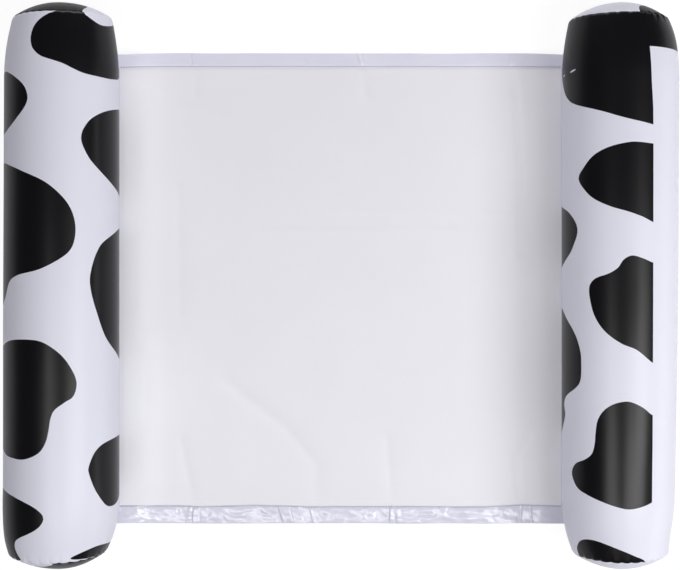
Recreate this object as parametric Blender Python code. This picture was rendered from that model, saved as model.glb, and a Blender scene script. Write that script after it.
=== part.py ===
"""Water hammock: two inflated tubes joined by a sling of mesh, lying on a floor.

Lengths are in metres and angles in degrees. Z is up and the floor is z = 0. The tubes lie along Y,
one on each side of x = 0, and the sling lies between them. The origin is the middle of the
footprint. The right tube is drawn once, and the left one is the same tube turned half round.
"""

import math

import bmesh
import bpy
from mathutils import Matrix, Vector

# Fits
CLEARANCE = 0.0003  # between two pieces that lie on each other
SLIDE_CLEARANCE = 0.0004  # round the valve's stem in its guide

# Inflated tubes of soft film
FILM = 0.0004
TUBE_RADIUS = 0.100
TUBE_SPACING = 0.980  # from one tube's centre line to the other's
SEAM_SPACING = 0.931  # from a tube's front end seam to its back one
SEAM_RADIUS = 0.086
SHOULDER_LENGTH = 0.107  # the stretch over which the wall draws in to its end seam
DOME_HEIGHT = 0.032  # how far an end disc bulges past its seam
SEAM_LIP = 0.006  # width of the end weld, which is turned into the tube
PUCKER_COUNT = 30  # gathers round one end seam
PUCKER_DEPTH = 0.0013
PUCKER_REACH = 0.030  # how far a gather runs from the seam
LAP_ANGLE = -60.0  # place of the lengthwise lap weld, on the outer side and below

# Welded tab that carries the sling
TAB_ANGLE = 215.0  # place of the tab, on the inner side, 35 degrees below the level
TAB_LENGTH = 0.744
TAB_FOOT_WIDTH = 0.018
TAB_FILM = 0.0005
FIN_LENGTH = 0.005  # from the tube's wall to the line on which the tube folds
FIN_ROOT_THICKNESS = 0.0005
FIN_EDGE_THICKNESS = 0.0003  # thinner than the gap, so that the fin can fold right over
FOLD_GAP = 0.0002  # from that line to the fin, and to the side tape

# Sling of mesh with its sewn edges
MESH_THICKNESS = 0.0006
SLING_LENGTH = 0.862  # along the tubes, over both hems
SLING_SHIFT = -0.005  # its middle lies a little in front of the tubes' middle
HEM_FILM = 0.0004
HEM_WIDTH_FRONT = 0.033
HEM_WIDTH_BACK = 0.026
SIDE_TAPE_WIDTH = 0.006
SLING_BEND_RADIUS = 0.110  # where the mesh leaves the floor for the tubes

# Push-in valve, on the outer side of each tube
VALVE_ANGLE = -24.0
VALVE_FROM_MIDDLE = 0.330  # along the tube, towards the right tube's front end
VALVE_SIDES = 24
STEM_RADIUS = 0.0055
STEM_BORE_RADIUS = 0.0040
STEM_TRAVEL = 0.009
STEM_ROOT_RADIUS = 0.0070
STEM_ROOT_THICKNESS = 0.0010
COLLAR_RADIUS = 0.0085
COLLAR_THICKNESS = 0.0015
FLANGE_RADIUS = 0.016
FLANGE_THICKNESS = 0.0008
GUIDE_WALL = 0.0012
GUIDE_LENGTH = 0.003
CAP_RADIUS = 0.0065
CAP_THICKNESS = 0.0014
PLUG_LENGTH = 0.0030
PLUG_TAPER = 0.0006  # how much narrower the plug's tip is, on the radius
TETHER_REACH = 0.0115  # from the valve's axis to the line on which the tether bends
TETHER_WIDTH = 0.0040
TETHER_THICKNESS = 0.0010
FLAP_RADIUS = 0.0050
FLAP_THICKNESS = 0.0005
FLAP_HINGE_REACH = 0.0045  # from the valve's axis to the flap's straight edge

# Where rings of points lie, as shares of the stretch that they describe
SHOULDER_RINGS = (0.09, 0.26, 0.55, 1.0)
DOME_RINGS = (0.0, 0.35, 0.68, 0.89, 1.0)
BEND_RINGS = (0.0, 0.25, 0.5, 0.75, 1.0)
FLANGE_RINGS = (0.5, 1.0)

# Colours of the soft goods, linear
WHITE_PVC = (0.76, 0.77, 0.84)
PALE_PVC = (0.70, 0.71, 0.80)
CLEAR_PVC = (0.62, 0.65, 0.70)
MESH_WHITE = (0.74, 0.74, 0.76)

# Worked out from the sizes above
TUBE_AXIS = Vector((0, 1, 0))
VALVE_AXIS = Vector((0, 0, 1))
COLUMNS = 2 * PUCKER_COUNT  # a crest and a trough to each gather
COLUMN_STEP = 2 * math.pi / COLUMNS
FLOOR_COLUMN = -math.pi / 2 + COLUMN_STEP / 2  # so that a flat side lies on the floor
TUBE_HEIGHT = TUBE_RADIUS * math.cos(COLUMN_STEP / 2)
HINGE_REACH = TUBE_RADIUS + FIN_LENGTH
TAB_DIRECTION = math.radians(TAB_ANGLE)
VALVE_DIRECTION = math.radians(VALVE_ANGLE)
HINGE_X = TUBE_SPACING / 2 + HINGE_REACH * math.cos(TAB_DIRECTION)
HINGE_Z = TUBE_HEIGHT + HINGE_REACH * math.sin(TAB_DIRECTION)
HEM_INNER = MESH_THICKNESS / 2 + CLEARANCE  # from the mesh's middle to the tape folded round it
HEM_OUTER = HEM_INNER + HEM_FILM
SLING_FRONT = SLING_SHIFT - SLING_LENGTH / 2
SLING_BACK = SLING_SHIFT + SLING_LENGTH / 2
VALVE_SEAT = TUBE_RADIUS + CLEARANCE  # height of the collar's underside over the tube's axis
GUIDE_RADIUS = STEM_RADIUS + SLIDE_CLEARANCE
WALL_HOLE_RADIUS = GUIDE_RADIUS + CLEARANCE
FLAT_LOSS = TUBE_RADIUS - TUBE_HEIGHT  # how far a flat side lies inside the round
FLANGE_DROP = 2 * CLEARANCE + FILM + FLAT_LOSS  # from the collar down to the flange, at most
STEM_DEPTH = FLANGE_DROP + FLANGE_THICKNESS + GUIDE_LENGTH + STEM_TRAVEL + CLEARANCE + STEM_ROOT_THICKNESS


def clear_scene():
    for old in list(bpy.data.objects):
        bpy.data.objects.remove(old, do_unlink=True)


def finish_for(name, colour, roughness):
    """A piece's own plain finish: dielectric film or cloth of one colour."""
    finish = bpy.data.materials.new(name + "_finish")
    finish.use_nodes = True
    shader = finish.node_tree.nodes["Principled BSDF"]
    shader.inputs["Base Color"].default_value = (*colour, 1.0)
    shader.inputs["Roughness"].default_value = roughness
    shader.inputs["Metallic"].default_value = 0.0
    finish.diffuse_color = (*colour, 1.0)
    return finish


def mesh_from(shape, name):
    """Turns a bmesh into a mesh with its faces outwards and its round parts smooth."""
    bmesh.ops.recalc_face_normals(shape, faces=shape.faces)
    data = bpy.data.meshes.new(name)
    shape.to_mesh(data)
    shape.free()
    data.shade_smooth()
    data.set_sharp_from_angle(angle=math.radians(30))
    return data


def place(name, data, parent, location=(0, 0, 0), finish=None):
    piece = bpy.data.objects.new(name, data)
    bpy.context.scene.collection.objects.link(piece)
    piece.parent = parent
    piece.location = location
    if finish:
        piece.data = data.copy()
        piece.data.materials.append(finish_for(name, *finish))
    return piece


def guide_empty(name, parent=None, location=(0, 0, 0), rotation=(0, 0, 0)):
    marker = bpy.data.objects.new(name, None)
    bpy.context.scene.collection.objects.link(marker)
    marker.parent = parent
    marker.location = location
    marker.rotation_euler = rotation
    marker.empty_display_size = 0.02
    return marker


def make_helper(piece):
    """A cutter, or a shape that is only united with another."""
    piece.hide_render = True
    piece.display_type = "WIRE"
    return piece


def combine(piece, other, operation):
    boolean = piece.modifiers.new(operation.lower(), "BOOLEAN")
    boolean.operation = operation
    boolean.solver = "EXACT"
    boolean.object = make_helper(other)


def turned(profile, axis, sides, start=0.0, closed=True):
    """Spins a profile of (along the axis, radius) pairs into a closed body."""
    out = Matrix.Rotation(start, 3, axis) @ Vector((1, 0, 0))
    shape = bmesh.new()
    points = [shape.verts.new(axis * along + out * radius) for along, radius in profile]
    pairs = list(zip(points, points[1:]))
    if closed:
        pairs.append((points[-1], points[0]))
    edges = [shape.edges.new(pair) for pair in pairs]
    bmesh.ops.spin(
        shape, geom=points + edges, cent=(0, 0, 0), axis=axis, angle=2 * math.pi, steps=sides, use_merge=True
    )
    bmesh.ops.remove_doubles(shape, verts=shape.verts, dist=1e-6)
    return shape


def lofted(rings):
    """A closed body through rings of points, with as many points in each ring."""
    shape = bmesh.new()
    loops = [[shape.verts.new(point) for point in ring] for ring in rings]
    for here, there in zip(loops, loops[1:]):
        for k in range(len(here)):
            after = (k + 1) % len(here)
            shape.faces.new((here[k], here[after], there[after], there[k]))
    shape.faces.new(loops[0])
    shape.faces.new(loops[-1])
    return shape


def block(size, centre):
    shape = bmesh.new()
    bmesh.ops.create_cube(shape, size=1.0)
    bmesh.ops.scale(shape, vec=size, verts=shape.verts)
    bmesh.ops.translate(shape, vec=centre, verts=shape.verts)
    return shape


def unit(vector):
    return vector / vector.length


def beside(line, distance):
    """The line moved sideways, to the right of its direction, with its corners kept true."""
    moved = []
    for k, point in enumerate(line):
        back = unit(point - line[k - 1]) if k else None
        ahead = unit(line[k + 1] - point) if k < len(line) - 1 else None
        back, ahead = back or ahead, ahead or back
        first, second = Vector((back.y, -back.x)), Vector((ahead.y, -ahead.x))
        corner = unit(first + second)
        moved.append(point + corner * (distance / corner.dot(first)))
    return moved


def flat_sided_radius(angle):
    """The wall's outer radius at this angle, on the flat side between two columns."""
    turn = (angle - FLOOR_COLUMN) % COLUMN_STEP
    return TUBE_HEIGHT / math.cos(turn - COLUMN_STEP / 2)


def shoulder_radius(from_seam):
    """The wall draws in to its seam on a parabola."""
    share = max(0.0, 1 - from_seam / SHOULDER_LENGTH)
    return TUBE_RADIUS - (TUBE_RADIUS - SEAM_RADIUS) * share**2


def seam_directions():
    """Directions (along, radius) from the seam: back along the wall, in over the disc, and the weld's."""
    slope = 2 * (TUBE_RADIUS - SEAM_RADIUS) / SHOULDER_LENGTH
    wall = unit(Vector((-1, slope)))
    sphere, rim = dome_sphere()
    disc = Vector((math.sin(rim), -math.cos(rim)))
    return wall, disc, unit(wall + disc)


def dome_sphere():
    """Radius of the sphere that an end disc is part of, and the angle of its rim from the tube's axis."""
    sphere = (SEAM_RADIUS**2 + DOME_HEIGHT**2) / (2 * DOME_HEIGHT)
    return sphere, math.asin(SEAM_RADIUS / sphere)


def seam_offset():
    """How far the wall and the disc each stay back from the seam, so that their welded lips lie close."""
    lip = seam_directions()[2]
    return CLEARANCE / 2 / abs(lip.y)


def pucker(shape):
    """Gathers the film round the end seams: crests and troughs in turn, which fade out along it."""
    for vertex in shape.verts:
        radius = math.hypot(vertex.co.x, vertex.co.z)
        if radius < 1e-6:
            continue
        seam = Vector((SEAM_SPACING / 2 - abs(vertex.co.y), SEAM_RADIUS - radius))
        fade = max(0.0, 1 - seam.length / PUCKER_REACH) ** 2
        column = round((math.atan2(vertex.co.z, vertex.co.x) - FLOOR_COLUMN) / COLUMN_STEP)
        lift = PUCKER_DEPTH * fade * (1 if column % 2 else -1)
        vertex.co.x *= 1 + lift / radius
        vertex.co.z *= 1 + lift / radius


def raise_lap_weld(shape):
    """The film's lengthwise edges overlap on one flat side of the tube, which stands a film proud."""
    middle = math.radians(LAP_ANGLE)
    for vertex in shape.verts:
        radius = math.hypot(vertex.co.x, vertex.co.z)
        turn = math.atan2(vertex.co.z, vertex.co.x) - middle
        turn = (turn + math.pi) % (2 * math.pi) - math.pi
        if abs(turn) < COLUMN_STEP and SEAM_SPACING / 2 - abs(vertex.co.y) > SEAM_LIP:
            vertex.co.x *= 1 + FILM / radius
            vertex.co.z *= 1 + FILM / radius


def tube_wall_shape():
    """The film cylinder, drawn in at both ends, with its end edges turned in for the weld."""
    seam_along = SEAM_SPACING / 2 - seam_offset()
    seam = Vector((seam_along, SEAM_RADIUS))
    lip = seam_directions()[2] * SEAM_LIP
    half = [seam + lip, seam]
    for share in SHOULDER_RINGS:
        from_seam = SHOULDER_LENGTH * share
        half.append(Vector((seam_along - from_seam, shoulder_radius(from_seam))))
    mirrored = [Vector((-point.x, point.y)) for point in reversed(half)]
    outer = half + mirrored
    inner = beside(outer, -FILM)
    shape = turned([*outer, *reversed(inner)], TUBE_AXIS, COLUMNS, start=-FLOOR_COLUMN)
    pucker(shape)
    raise_lap_weld(shape)
    return shape


def end_disc_shape(end):
    """The domed disc that closes a tube's back (1) or front (-1), its edge turned in beside the wall's."""
    sphere, rim = dome_sphere()
    seam_along = SEAM_SPACING / 2 + seam_offset()
    lip = seam_directions()[2] * SEAM_LIP
    outer = []
    for share in DOME_RINGS:
        angle = rim * share
        rise = sphere * (math.cos(angle) - math.cos(rim))
        outer.append(Vector((seam_along + rise, sphere * math.sin(angle))))
    outer.append(outer[-1] + lip)
    inner = beside(outer, -FILM)
    inner[0] = Vector((outer[0].x - FILM, 0.0))
    profile = [(end * along, radius) for along, radius in [*outer, *reversed(inner)]]
    shape = turned(profile, TUBE_AXIS, COLUMNS, start=-FLOOR_COLUMN, closed=False)
    pucker(shape)
    return shape


def columns_between(first, last):
    """Angles of the wall's columns between two angles, where anything that lies on the wall bends too."""
    column = math.ceil((first - FLOOR_COLUMN) / COLUMN_STEP) * COLUMN_STEP + FLOOR_COLUMN
    found = []
    while column < last:
        found.append(column)
        column += COLUMN_STEP
    return found


def over_wall(turn, lift):
    """The point (x, z) at this angle round the tube and this far over its wall."""
    return Vector((math.cos(turn), math.sin(turn))) * (flat_sided_radius(turn) + lift)


def tab_shape():
    """A strip with a T section: its foot lies on the tube's wall, and its fin reaches for the sling."""
    half_foot, half_fin = TAB_FOOT_WIDTH / 2 / TUBE_RADIUS, FIN_ROOT_THICKNESS / 2 / TUBE_RADIUS
    first, last = TAB_DIRECTION - half_foot, TAB_DIRECTION + half_foot
    turns = [first, *columns_between(first, last), last]
    beyond = [turn for turn in reversed(turns) if turn > TAB_DIRECTION + half_fin]
    before = [turn for turn in reversed(turns) if turn < TAB_DIRECTION - half_fin]
    root = over_wall(TAB_DIRECTION, CLEARANCE + TAB_FILM)
    tip = unit(root) * (HINGE_REACH - FOLD_GAP)
    across = Vector((-root.y, root.x)) / root.length
    root_side, tip_side = across * FIN_ROOT_THICKNESS / 2, across * FIN_EDGE_THICKNESS / 2
    section = [over_wall(turn, CLEARANCE) for turn in turns]
    section += [over_wall(turn, CLEARANCE + TAB_FILM) for turn in beyond]
    section += [root + root_side, tip + tip_side, tip - tip_side, root - root_side]
    section += [over_wall(turn, CLEARANCE + TAB_FILM) for turn in before]
    ends = (-TAB_LENGTH / 2, TAB_LENGTH / 2)
    return lofted([[Vector((point.x, end, point.y)) for point in section] for end in ends])


def fold_to_sling(distance):
    """The point (x, z) this far from the right fold line, down the slope to the floor."""
    down = Vector((math.cos(TAB_DIRECTION), math.sin(TAB_DIRECTION)))
    return Vector((HINGE_X, HINGE_Z)) + down * distance


def sling_path(from_fold):
    """The sling's middle line (x, z) from left to right, ending this far from each fold line."""
    slope = TAB_DIRECTION - math.pi
    run = (HINGE_Z - HEM_OUTER) / math.sin(slope)
    corner = fold_to_sling(run)
    cut = SLING_BEND_RADIUS * math.tan(slope / 2)
    centre = Vector((corner.x - cut, corner.y + SLING_BEND_RADIUS))
    right = []
    for share in BEND_RINGS:
        turn = slope * share
        right.append(centre + Vector((math.sin(turn), -math.cos(turn))) * SLING_BEND_RADIUS)
    right.append(fold_to_sling(from_fold))
    left = [Vector((-point.x, point.y)) for point in reversed(right)]
    return left + right


def swept(path, section):
    """Sweeps a section of (along Y, height over the middle line) pairs along a path of (x, z) points."""
    levels = {height: beside(path, -height) for height in {pair[1] for pair in section}}
    rings = []
    for k in range(len(path)):
        points = [(levels[height][k], along) for along, height in section]
        rings.append([Vector((point.x, along, point.y)) for point, along in points])
    return lofted(rings)


def mesh_panel_shape():
    margin = HEM_FILM + CLEARANCE
    front, back, half = SLING_FRONT + margin, SLING_BACK - margin, MESH_THICKNESS / 2
    section = [(front, -half), (back, -half), (back, half), (front, half)]
    return swept(sling_path(FOLD_GAP + margin), section)


def folded_section(fold, opening):
    """A film folded round the mesh's edge: the fold lies at one place, and the two edges at another."""
    inside = fold + math.copysign(HEM_FILM, opening - fold)
    outline = [(opening, HEM_OUTER), (fold, HEM_OUTER), (fold, -HEM_OUTER), (opening, -HEM_OUTER)]
    hollow = [(opening, -HEM_INNER), (inside, -HEM_INNER), (inside, HEM_INNER), (opening, HEM_INNER)]
    return outline + hollow


def hem_shape(fold, opening):
    path = sling_path(FOLD_GAP + SIDE_TAPE_WIDTH + CLEARANCE)
    return swept(path, folded_section(fold, opening))


def side_tape_shape(outward):
    """The film folded round a side edge of the mesh, next to the fold line, as long as the sling."""
    across = Vector((-math.sin(TAB_DIRECTION), math.cos(TAB_DIRECTION)))
    section = folded_section(FOLD_GAP, FOLD_GAP + SIDE_TAPE_WIDTH)
    rings = []
    for end in (SLING_FRONT, SLING_BACK):
        points = [fold_to_sling(distance) + across * height for distance, height in section]
        rings.append([Vector((outward * (point.x - HINGE_X), end, point.y - HINGE_Z)) for point in points])
    return lofted(rings)


def wall_height(aside):
    """Height of the wall's outer face over the tube's axis, this far aside from the valve's axis."""
    turn = math.asin(aside / TUBE_RADIUS)
    return flat_sided_radius(VALVE_DIRECTION - turn) * math.cos(turn)


def valve_flange_shape():
    """The round flange welded inside the wall, bent to the tube's curve, and the guide in its middle."""
    lower, guide = -FLANGE_THICKNESS, GUIDE_RADIUS + GUIDE_WALL
    rings = [guide + (FLANGE_RADIUS - guide) * share for share in FLANGE_RINGS]
    profile = [(0, GUIDE_RADIUS)]
    profile += [(0, radius) for radius in rings]
    profile += [(lower, radius) for radius in [*reversed(rings), guide]]
    profile += [(lower - GUIDE_LENGTH, guide), (lower - GUIDE_LENGTH, GUIDE_RADIUS)]
    shape = turned(profile, VALVE_AXIS, VALVE_SIDES)
    for vertex in shape.verts:
        vertex.co.z += wall_height(vertex.co.x) - FILM - CLEARANCE - VALVE_SEAT
    return shape


def valve_stem_shape():
    """The stem with its bore, the collar outside the wall, and the thick root ring inside the tube."""
    root_top = STEM_ROOT_THICKNESS - STEM_DEPTH
    profile = [
        (COLLAR_THICKNESS, STEM_BORE_RADIUS),
        (COLLAR_THICKNESS, COLLAR_RADIUS),
        (0, COLLAR_RADIUS),
        (0, STEM_RADIUS),
        (root_top, STEM_RADIUS),
        (root_top, STEM_ROOT_RADIUS),
        (-STEM_DEPTH, STEM_ROOT_RADIUS),
        (-STEM_DEPTH, STEM_BORE_RADIUS),
    ]
    return turned(profile, VALVE_AXIS, VALVE_SIDES)


def tether_lug_shape():
    """The tongue on the collar that the cap's tether bends from."""
    inset = CLEARANCE / 3
    start = (STEM_BORE_RADIUS + COLLAR_RADIUS) / 2
    size = (TETHER_WIDTH, TETHER_REACH - start, COLLAR_THICKNESS - 2 * inset)
    return block(size, (0, (TETHER_REACH + start) / 2, COLLAR_THICKNESS / 2))


def valve_cap_shape():
    """The cap with its tapered plug. The body's origin is on the line on which the tether bends."""
    base, plug = CLEARANCE / 2, STEM_BORE_RADIUS - CLEARANCE
    profile = [
        (base + CAP_THICKNESS, 0),
        (base + CAP_THICKNESS, CAP_RADIUS),
        (base, CAP_RADIUS),
        (base, plug),
        (base - PLUG_LENGTH, plug - PLUG_TAPER),
        (base - PLUG_LENGTH, 0),
    ]
    shape = turned(profile, VALVE_AXIS, VALVE_SIDES, closed=False)
    bmesh.ops.translate(shape, vec=(0, -TETHER_REACH, 0), verts=shape.verts)
    return shape


def tether_shape():
    """The flat tether from inside the cap to the line on which it bends."""
    start = CAP_RADIUS / 2 - TETHER_REACH
    height = CLEARANCE / 2 + (CAP_THICKNESS - TETHER_THICKNESS) / 2 + TETHER_THICKNESS / 2
    return block((TETHER_WIDTH, -start, TETHER_THICKNESS), (0, start / 2, height))


def valve_flap_shape():
    """The thin disc that closes the stem's inner end, cut straight where it bends."""
    shape = bmesh.new()
    bmesh.ops.create_cone(
        shape,
        cap_ends=True,
        segments=VALVE_SIDES,
        radius1=FLAP_RADIUS,
        radius2=FLAP_RADIUS,
        depth=FLAP_THICKNESS,
    )
    whole = list(shape.verts) + list(shape.edges) + list(shape.faces)
    cut = bmesh.ops.bisect_plane(
        shape, geom=whole, plane_co=(0, -FLAP_HINGE_REACH, 0), plane_no=(0, -1, 0), clear_outer=True
    )
    rim = [item for item in cut["geom_cut"] if isinstance(item, bmesh.types.BMEdge)]
    bmesh.ops.contextual_create(shape, geom=rim)
    lower = (0, FLAP_HINGE_REACH, -(CLEARANCE + FLAP_THICKNESS) / 2)
    bmesh.ops.translate(shape, vec=lower, verts=shape.verts)
    return shape


def add_valve(side, hinge, tube_centre):
    """The valve's pieces stand on its own axis, which points out of the tube."""
    out = Vector((math.cos(VALVE_DIRECTION), 0, math.sin(VALVE_DIRECTION)))
    location = tube_centre + out * VALVE_SEAT + Vector((0, -VALVE_FROM_MIDDLE, 0))
    axis = guide_empty("valve_axis_" + side, hinge, location, (0, math.pi / 2 - VALVE_DIRECTION, 0))
    soft = (CLEAR_PVC, 0.35)
    name = "valve_flange_" + side
    place(name, mesh_from(valve_flange_shape(), name), axis, finish=soft)
    name = "valve_stem_" + side
    stem = place(name, mesh_from(valve_stem_shape(), name), axis, finish=soft)
    lug = place("tether_lug_" + side, mesh_from(tether_lug_shape(), "tether_lug"), axis)
    combine(stem, lug, "UNION")
    name = "valve_cap_" + side
    bend = (0, TETHER_REACH, COLLAR_THICKNESS + CLEARANCE / 2)
    cap = place(name, mesh_from(valve_cap_shape(), name), stem, bend, soft)
    tether = place("tether_" + side, mesh_from(tether_shape(), "tether"), stem, bend)
    combine(cap, tether, "UNION")
    name = "valve_flap_" + side
    edge = (0, -FLAP_HINGE_REACH, -STEM_DEPTH - CLEARANCE / 2)
    place(name, mesh_from(valve_flap_shape(), name), stem, edge, soft)
    return axis


def add_wall_hole(side, wall, valve_axis):
    """A round hole in the wall for the valve's stem."""
    cutter = bmesh.new()
    bmesh.ops.create_cone(
        cutter,
        cap_ends=True,
        segments=VALVE_SIDES,
        radius1=WALL_HOLE_RADIUS,
        radius2=WALL_HOLE_RADIUS,
        depth=2 * FLANGE_RADIUS,
    )
    hole = place("valve_hole_" + side, mesh_from(cutter, "valve_hole"), valve_axis)
    combine(wall, hole, "DIFFERENCE")


def add_tube(side, turn):
    """One tube with everything welded to it, hung on the line where it folds against the sling."""
    place_x = HINGE_X if side == "right" else -HINGE_X
    hinge = guide_empty("tube_fold_" + side, location=(place_x, 0, HINGE_Z), rotation=(0, 0, turn))
    centre = Vector((-math.cos(TAB_DIRECTION), 0, -math.sin(TAB_DIRECTION))) * HINGE_REACH
    print_white = (WHITE_PVC, 0.38)
    name = "tube_wall_" + side
    wall = place(name, mesh_from(tube_wall_shape(), name), hinge, centre, print_white)
    # The left tube is turned half round, so its back end lies in front.
    ends = ("back", "front") if side == "right" else ("front", "back")
    for name_end, end in zip(ends, (1, -1)):
        name = "end_disc_" + side + "_" + name_end
        place(name, mesh_from(end_disc_shape(end), name), hinge, centre, print_white)
    name = "tube_tab_" + side
    place(name, mesh_from(tab_shape(), name), hinge, centre, (PALE_PVC, 0.35))
    valve_axis = add_valve(side, hinge, centre)
    add_wall_hole(side, wall, valve_axis)


def add_sling():
    name = "mesh_panel"
    place(name, mesh_from(mesh_panel_shape(), name), None, finish=(MESH_WHITE, 0.75))
    name = "hem_front"
    shape = hem_shape(SLING_FRONT, SLING_FRONT + HEM_WIDTH_FRONT)
    place(name, mesh_from(shape, name), None, finish=(PALE_PVC, 0.25))
    name = "hem_back"
    shape = hem_shape(SLING_BACK, SLING_BACK - HEM_WIDTH_BACK)
    place(name, mesh_from(shape, name), None, finish=(PALE_PVC, 0.30))
    for side, outward in (("right", 1), ("left", -1)):
        name = "side_tape_" + side
        shape = side_tape_shape(outward)
        place(name, mesh_from(shape, name), None, (outward * HINGE_X, 0, HINGE_Z), (PALE_PVC, 0.30))


clear_scene()
add_tube("right", 0.0)
add_tube("left", math.pi)
add_sling()
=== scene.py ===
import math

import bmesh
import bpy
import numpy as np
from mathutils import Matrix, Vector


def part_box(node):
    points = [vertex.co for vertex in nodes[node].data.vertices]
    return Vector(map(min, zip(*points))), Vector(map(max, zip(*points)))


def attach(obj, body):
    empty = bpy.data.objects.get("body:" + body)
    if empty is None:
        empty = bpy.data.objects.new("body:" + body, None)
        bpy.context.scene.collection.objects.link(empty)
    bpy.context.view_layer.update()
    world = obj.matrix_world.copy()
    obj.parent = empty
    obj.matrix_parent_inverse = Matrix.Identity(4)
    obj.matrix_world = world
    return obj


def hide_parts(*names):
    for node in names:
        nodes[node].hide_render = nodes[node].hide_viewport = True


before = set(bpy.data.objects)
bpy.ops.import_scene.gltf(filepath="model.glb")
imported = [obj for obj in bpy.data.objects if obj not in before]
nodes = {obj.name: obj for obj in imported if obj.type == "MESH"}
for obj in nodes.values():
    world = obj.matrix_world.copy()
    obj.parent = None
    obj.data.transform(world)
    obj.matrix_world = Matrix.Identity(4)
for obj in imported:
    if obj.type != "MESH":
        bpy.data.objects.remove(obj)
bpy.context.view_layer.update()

# %% [markdown]
# # A water hammock: two printed air tubes and a sling of mesh
#
# This lesson dresses a finished CAD model for a picture. The real object is made of soft film: two
# long air tubes, each closed by two domed discs, and between them a mesh panel with a folded film
# hem at each end. All lengths are in metres. X runs from the left tube to the right one, Y along
# the tubes to the back hem, and Z up. The CAD model is the frame: each piece that is made here
# lies where the CAD piece is that it stands for.

SIDE_NAMES, END_NAMES = {1: "right", -1: "left"}, {1: "back", -1: "front"}


def placed(name, data):
    """An object for a mesh, a lamp or the camera, put in the scene."""
    made = bpy.data.objects.new(name, data)
    bpy.context.scene.collection.objects.link(made)
    return made


# %% [markdown]
# ## The camera
#
# The picture was taken from straight above. The tubes' ends and sides show how strong the
# perspective is: the camera is 2.4 m over the floor. A lens of 69.3 mm then gives the same frame.

# %% Camera straight above
camera_data = bpy.data.cameras.new("view_from_above")
camera_data.sensor_width = 36.0
camera_data.lens = 69.3
camera = placed("view_from_above", camera_data)
camera.location = (-0.0009, 0.0010, 2.4)
bpy.context.scene.camera = camera
bpy.context.scene.view_settings.view_transform = "Standard"
print("Camera height:", camera.location.z)

# %% [markdown]
# ## Grids of points
#
# Nearly every piece here is a surface with two directions, such as round the tube and along it.
# Numpy works out all its points at once, and one helper joins them with four-sided faces. A
# direction that comes back to its start, such as the way round a tube, is closed.

# %% Helpers: faces of a grid, and an object from points
def grid_faces(rows, columns, closed_rows=False, closed_columns=False):
    """Faces that join a grid of points, numbered row by row."""
    number = np.arange(rows * columns).reshape(rows, columns)
    if closed_rows:
        number = np.vstack([number, number[:1]])
    if closed_columns:
        number = np.hstack([number, number[:, :1]])
    corners = (number[:-1, :-1], number[:-1, 1:], number[1:, 1:], number[1:, :-1])
    return np.stack([corner.ravel() for corner in corners], axis=1).tolist()


def mesh_from(name, shape):
    """The mesh of a finished shape."""
    data = bpy.data.meshes.new(name)
    shape.to_mesh(data)
    shape.free()
    return data


def piece_from(name, points, faces):
    """A smooth-shaded object with its place in its mesh. Its faces are turned outwards."""
    data = bpy.data.meshes.new(name)
    data.from_pydata(np.asarray(points).reshape(-1, 3).tolist(), [], faces)
    shape = bmesh.new()
    shape.from_mesh(data)
    bmesh.ops.recalc_face_normals(shape, faces=shape.faces)
    shape.to_mesh(data)
    shape.free()
    data.shade_smooth()
    return placed(name, data)


def points_of(piece):
    """All the points of a piece, one in each row."""
    flat = np.empty(len(piece.data.vertices) * 3, np.float32)
    piece.data.vertices.foreach_get("co", flat)
    return flat.reshape(-1, 3).astype(float)


def store(piece, name, values, kind="FLOAT"):
    """Keeps one value or vector for each point of a piece, for its material to read."""
    attribute = piece.data.attributes.new(name, kind, "POINT")
    field = "value" if kind == "FLOAT" else "vector"
    attribute.data.foreach_set(field, np.asarray(values, np.float32).ravel())


def report(piece):
    """Prints how many triangles a piece has."""
    piece.data.calc_loop_triangles()
    print(f"{piece.name}: {len(piece.data.loop_triangles)} triangles")


# %% [markdown]
# ## Random ripples that are the same each run
#
# Film and cloth are never quite flat. A table of random heights with a fixed seed, joined by
# smooth curves, gives soft ripples of a chosen size. The printed spots and the creases are lines
# with corners, so a second helper tells how far points lie from a piece of line.

# %% Helpers: ripples, and distances to a line
def ripples(first, second, size_first, size_second, seed):
    """Smooth random heights between -1 and 1, of this size in each of two directions."""
    heights = np.random.default_rng(seed).uniform(-1, 1, (64, 64))
    u, v = np.asarray(first) / size_first, np.asarray(second) / size_second
    column, row = np.floor(u).astype(int), np.floor(v).astype(int)
    s, t = u - column, v - row
    s, t = s * s * (3 - 2 * s), t * t * (3 - 2 * t)
    near, far = column % 64, (column + 1) % 64
    low, high = row % 64, (row + 1) % 64
    lower = heights[low, near] * (1 - s) + heights[low, far] * s
    upper = heights[high, near] * (1 - s) + heights[high, far] * s
    return lower * (1 - t) + upper * t


def from_segment(points, start, end):
    """The way to each point from the nearest place on a straight piece of line."""
    way, offset = end - start, points - start
    share = np.clip(offset @ way / (way @ way), 0, 1)
    return offset - share[:, None] * way


three_heights = ripples([0.1, 0.2, 0.3], [0.0, 0.1, 0.2], 0.05, 0.05, 1)
print("Ripples at three points:", np.round(three_heights, 3))

# %% [markdown]
# ## Nodes written as sums
#
# A material is a small program of nodes. Here a wire from a node can be used in an ordinary
# Python sum, and each sum adds its own Math node. Every other node is made by one method, which
# takes the node's type, its settings, and the values or wires of its sockets. The sewing and the
# sky, further on, are written in the same way.

# %% Nodes, wires and finishes
def math_node(operation, swapped=False):
    """A method of a wire that adds a Math node. Swapped, the wire comes last."""

    def method(wire, *others):
        values = (*others, wire) if swapped else (wire, *others)
        return wire.owner.node("ShaderNodeMath", {"operation": operation}, dict(enumerate(values)))

    return method


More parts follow.
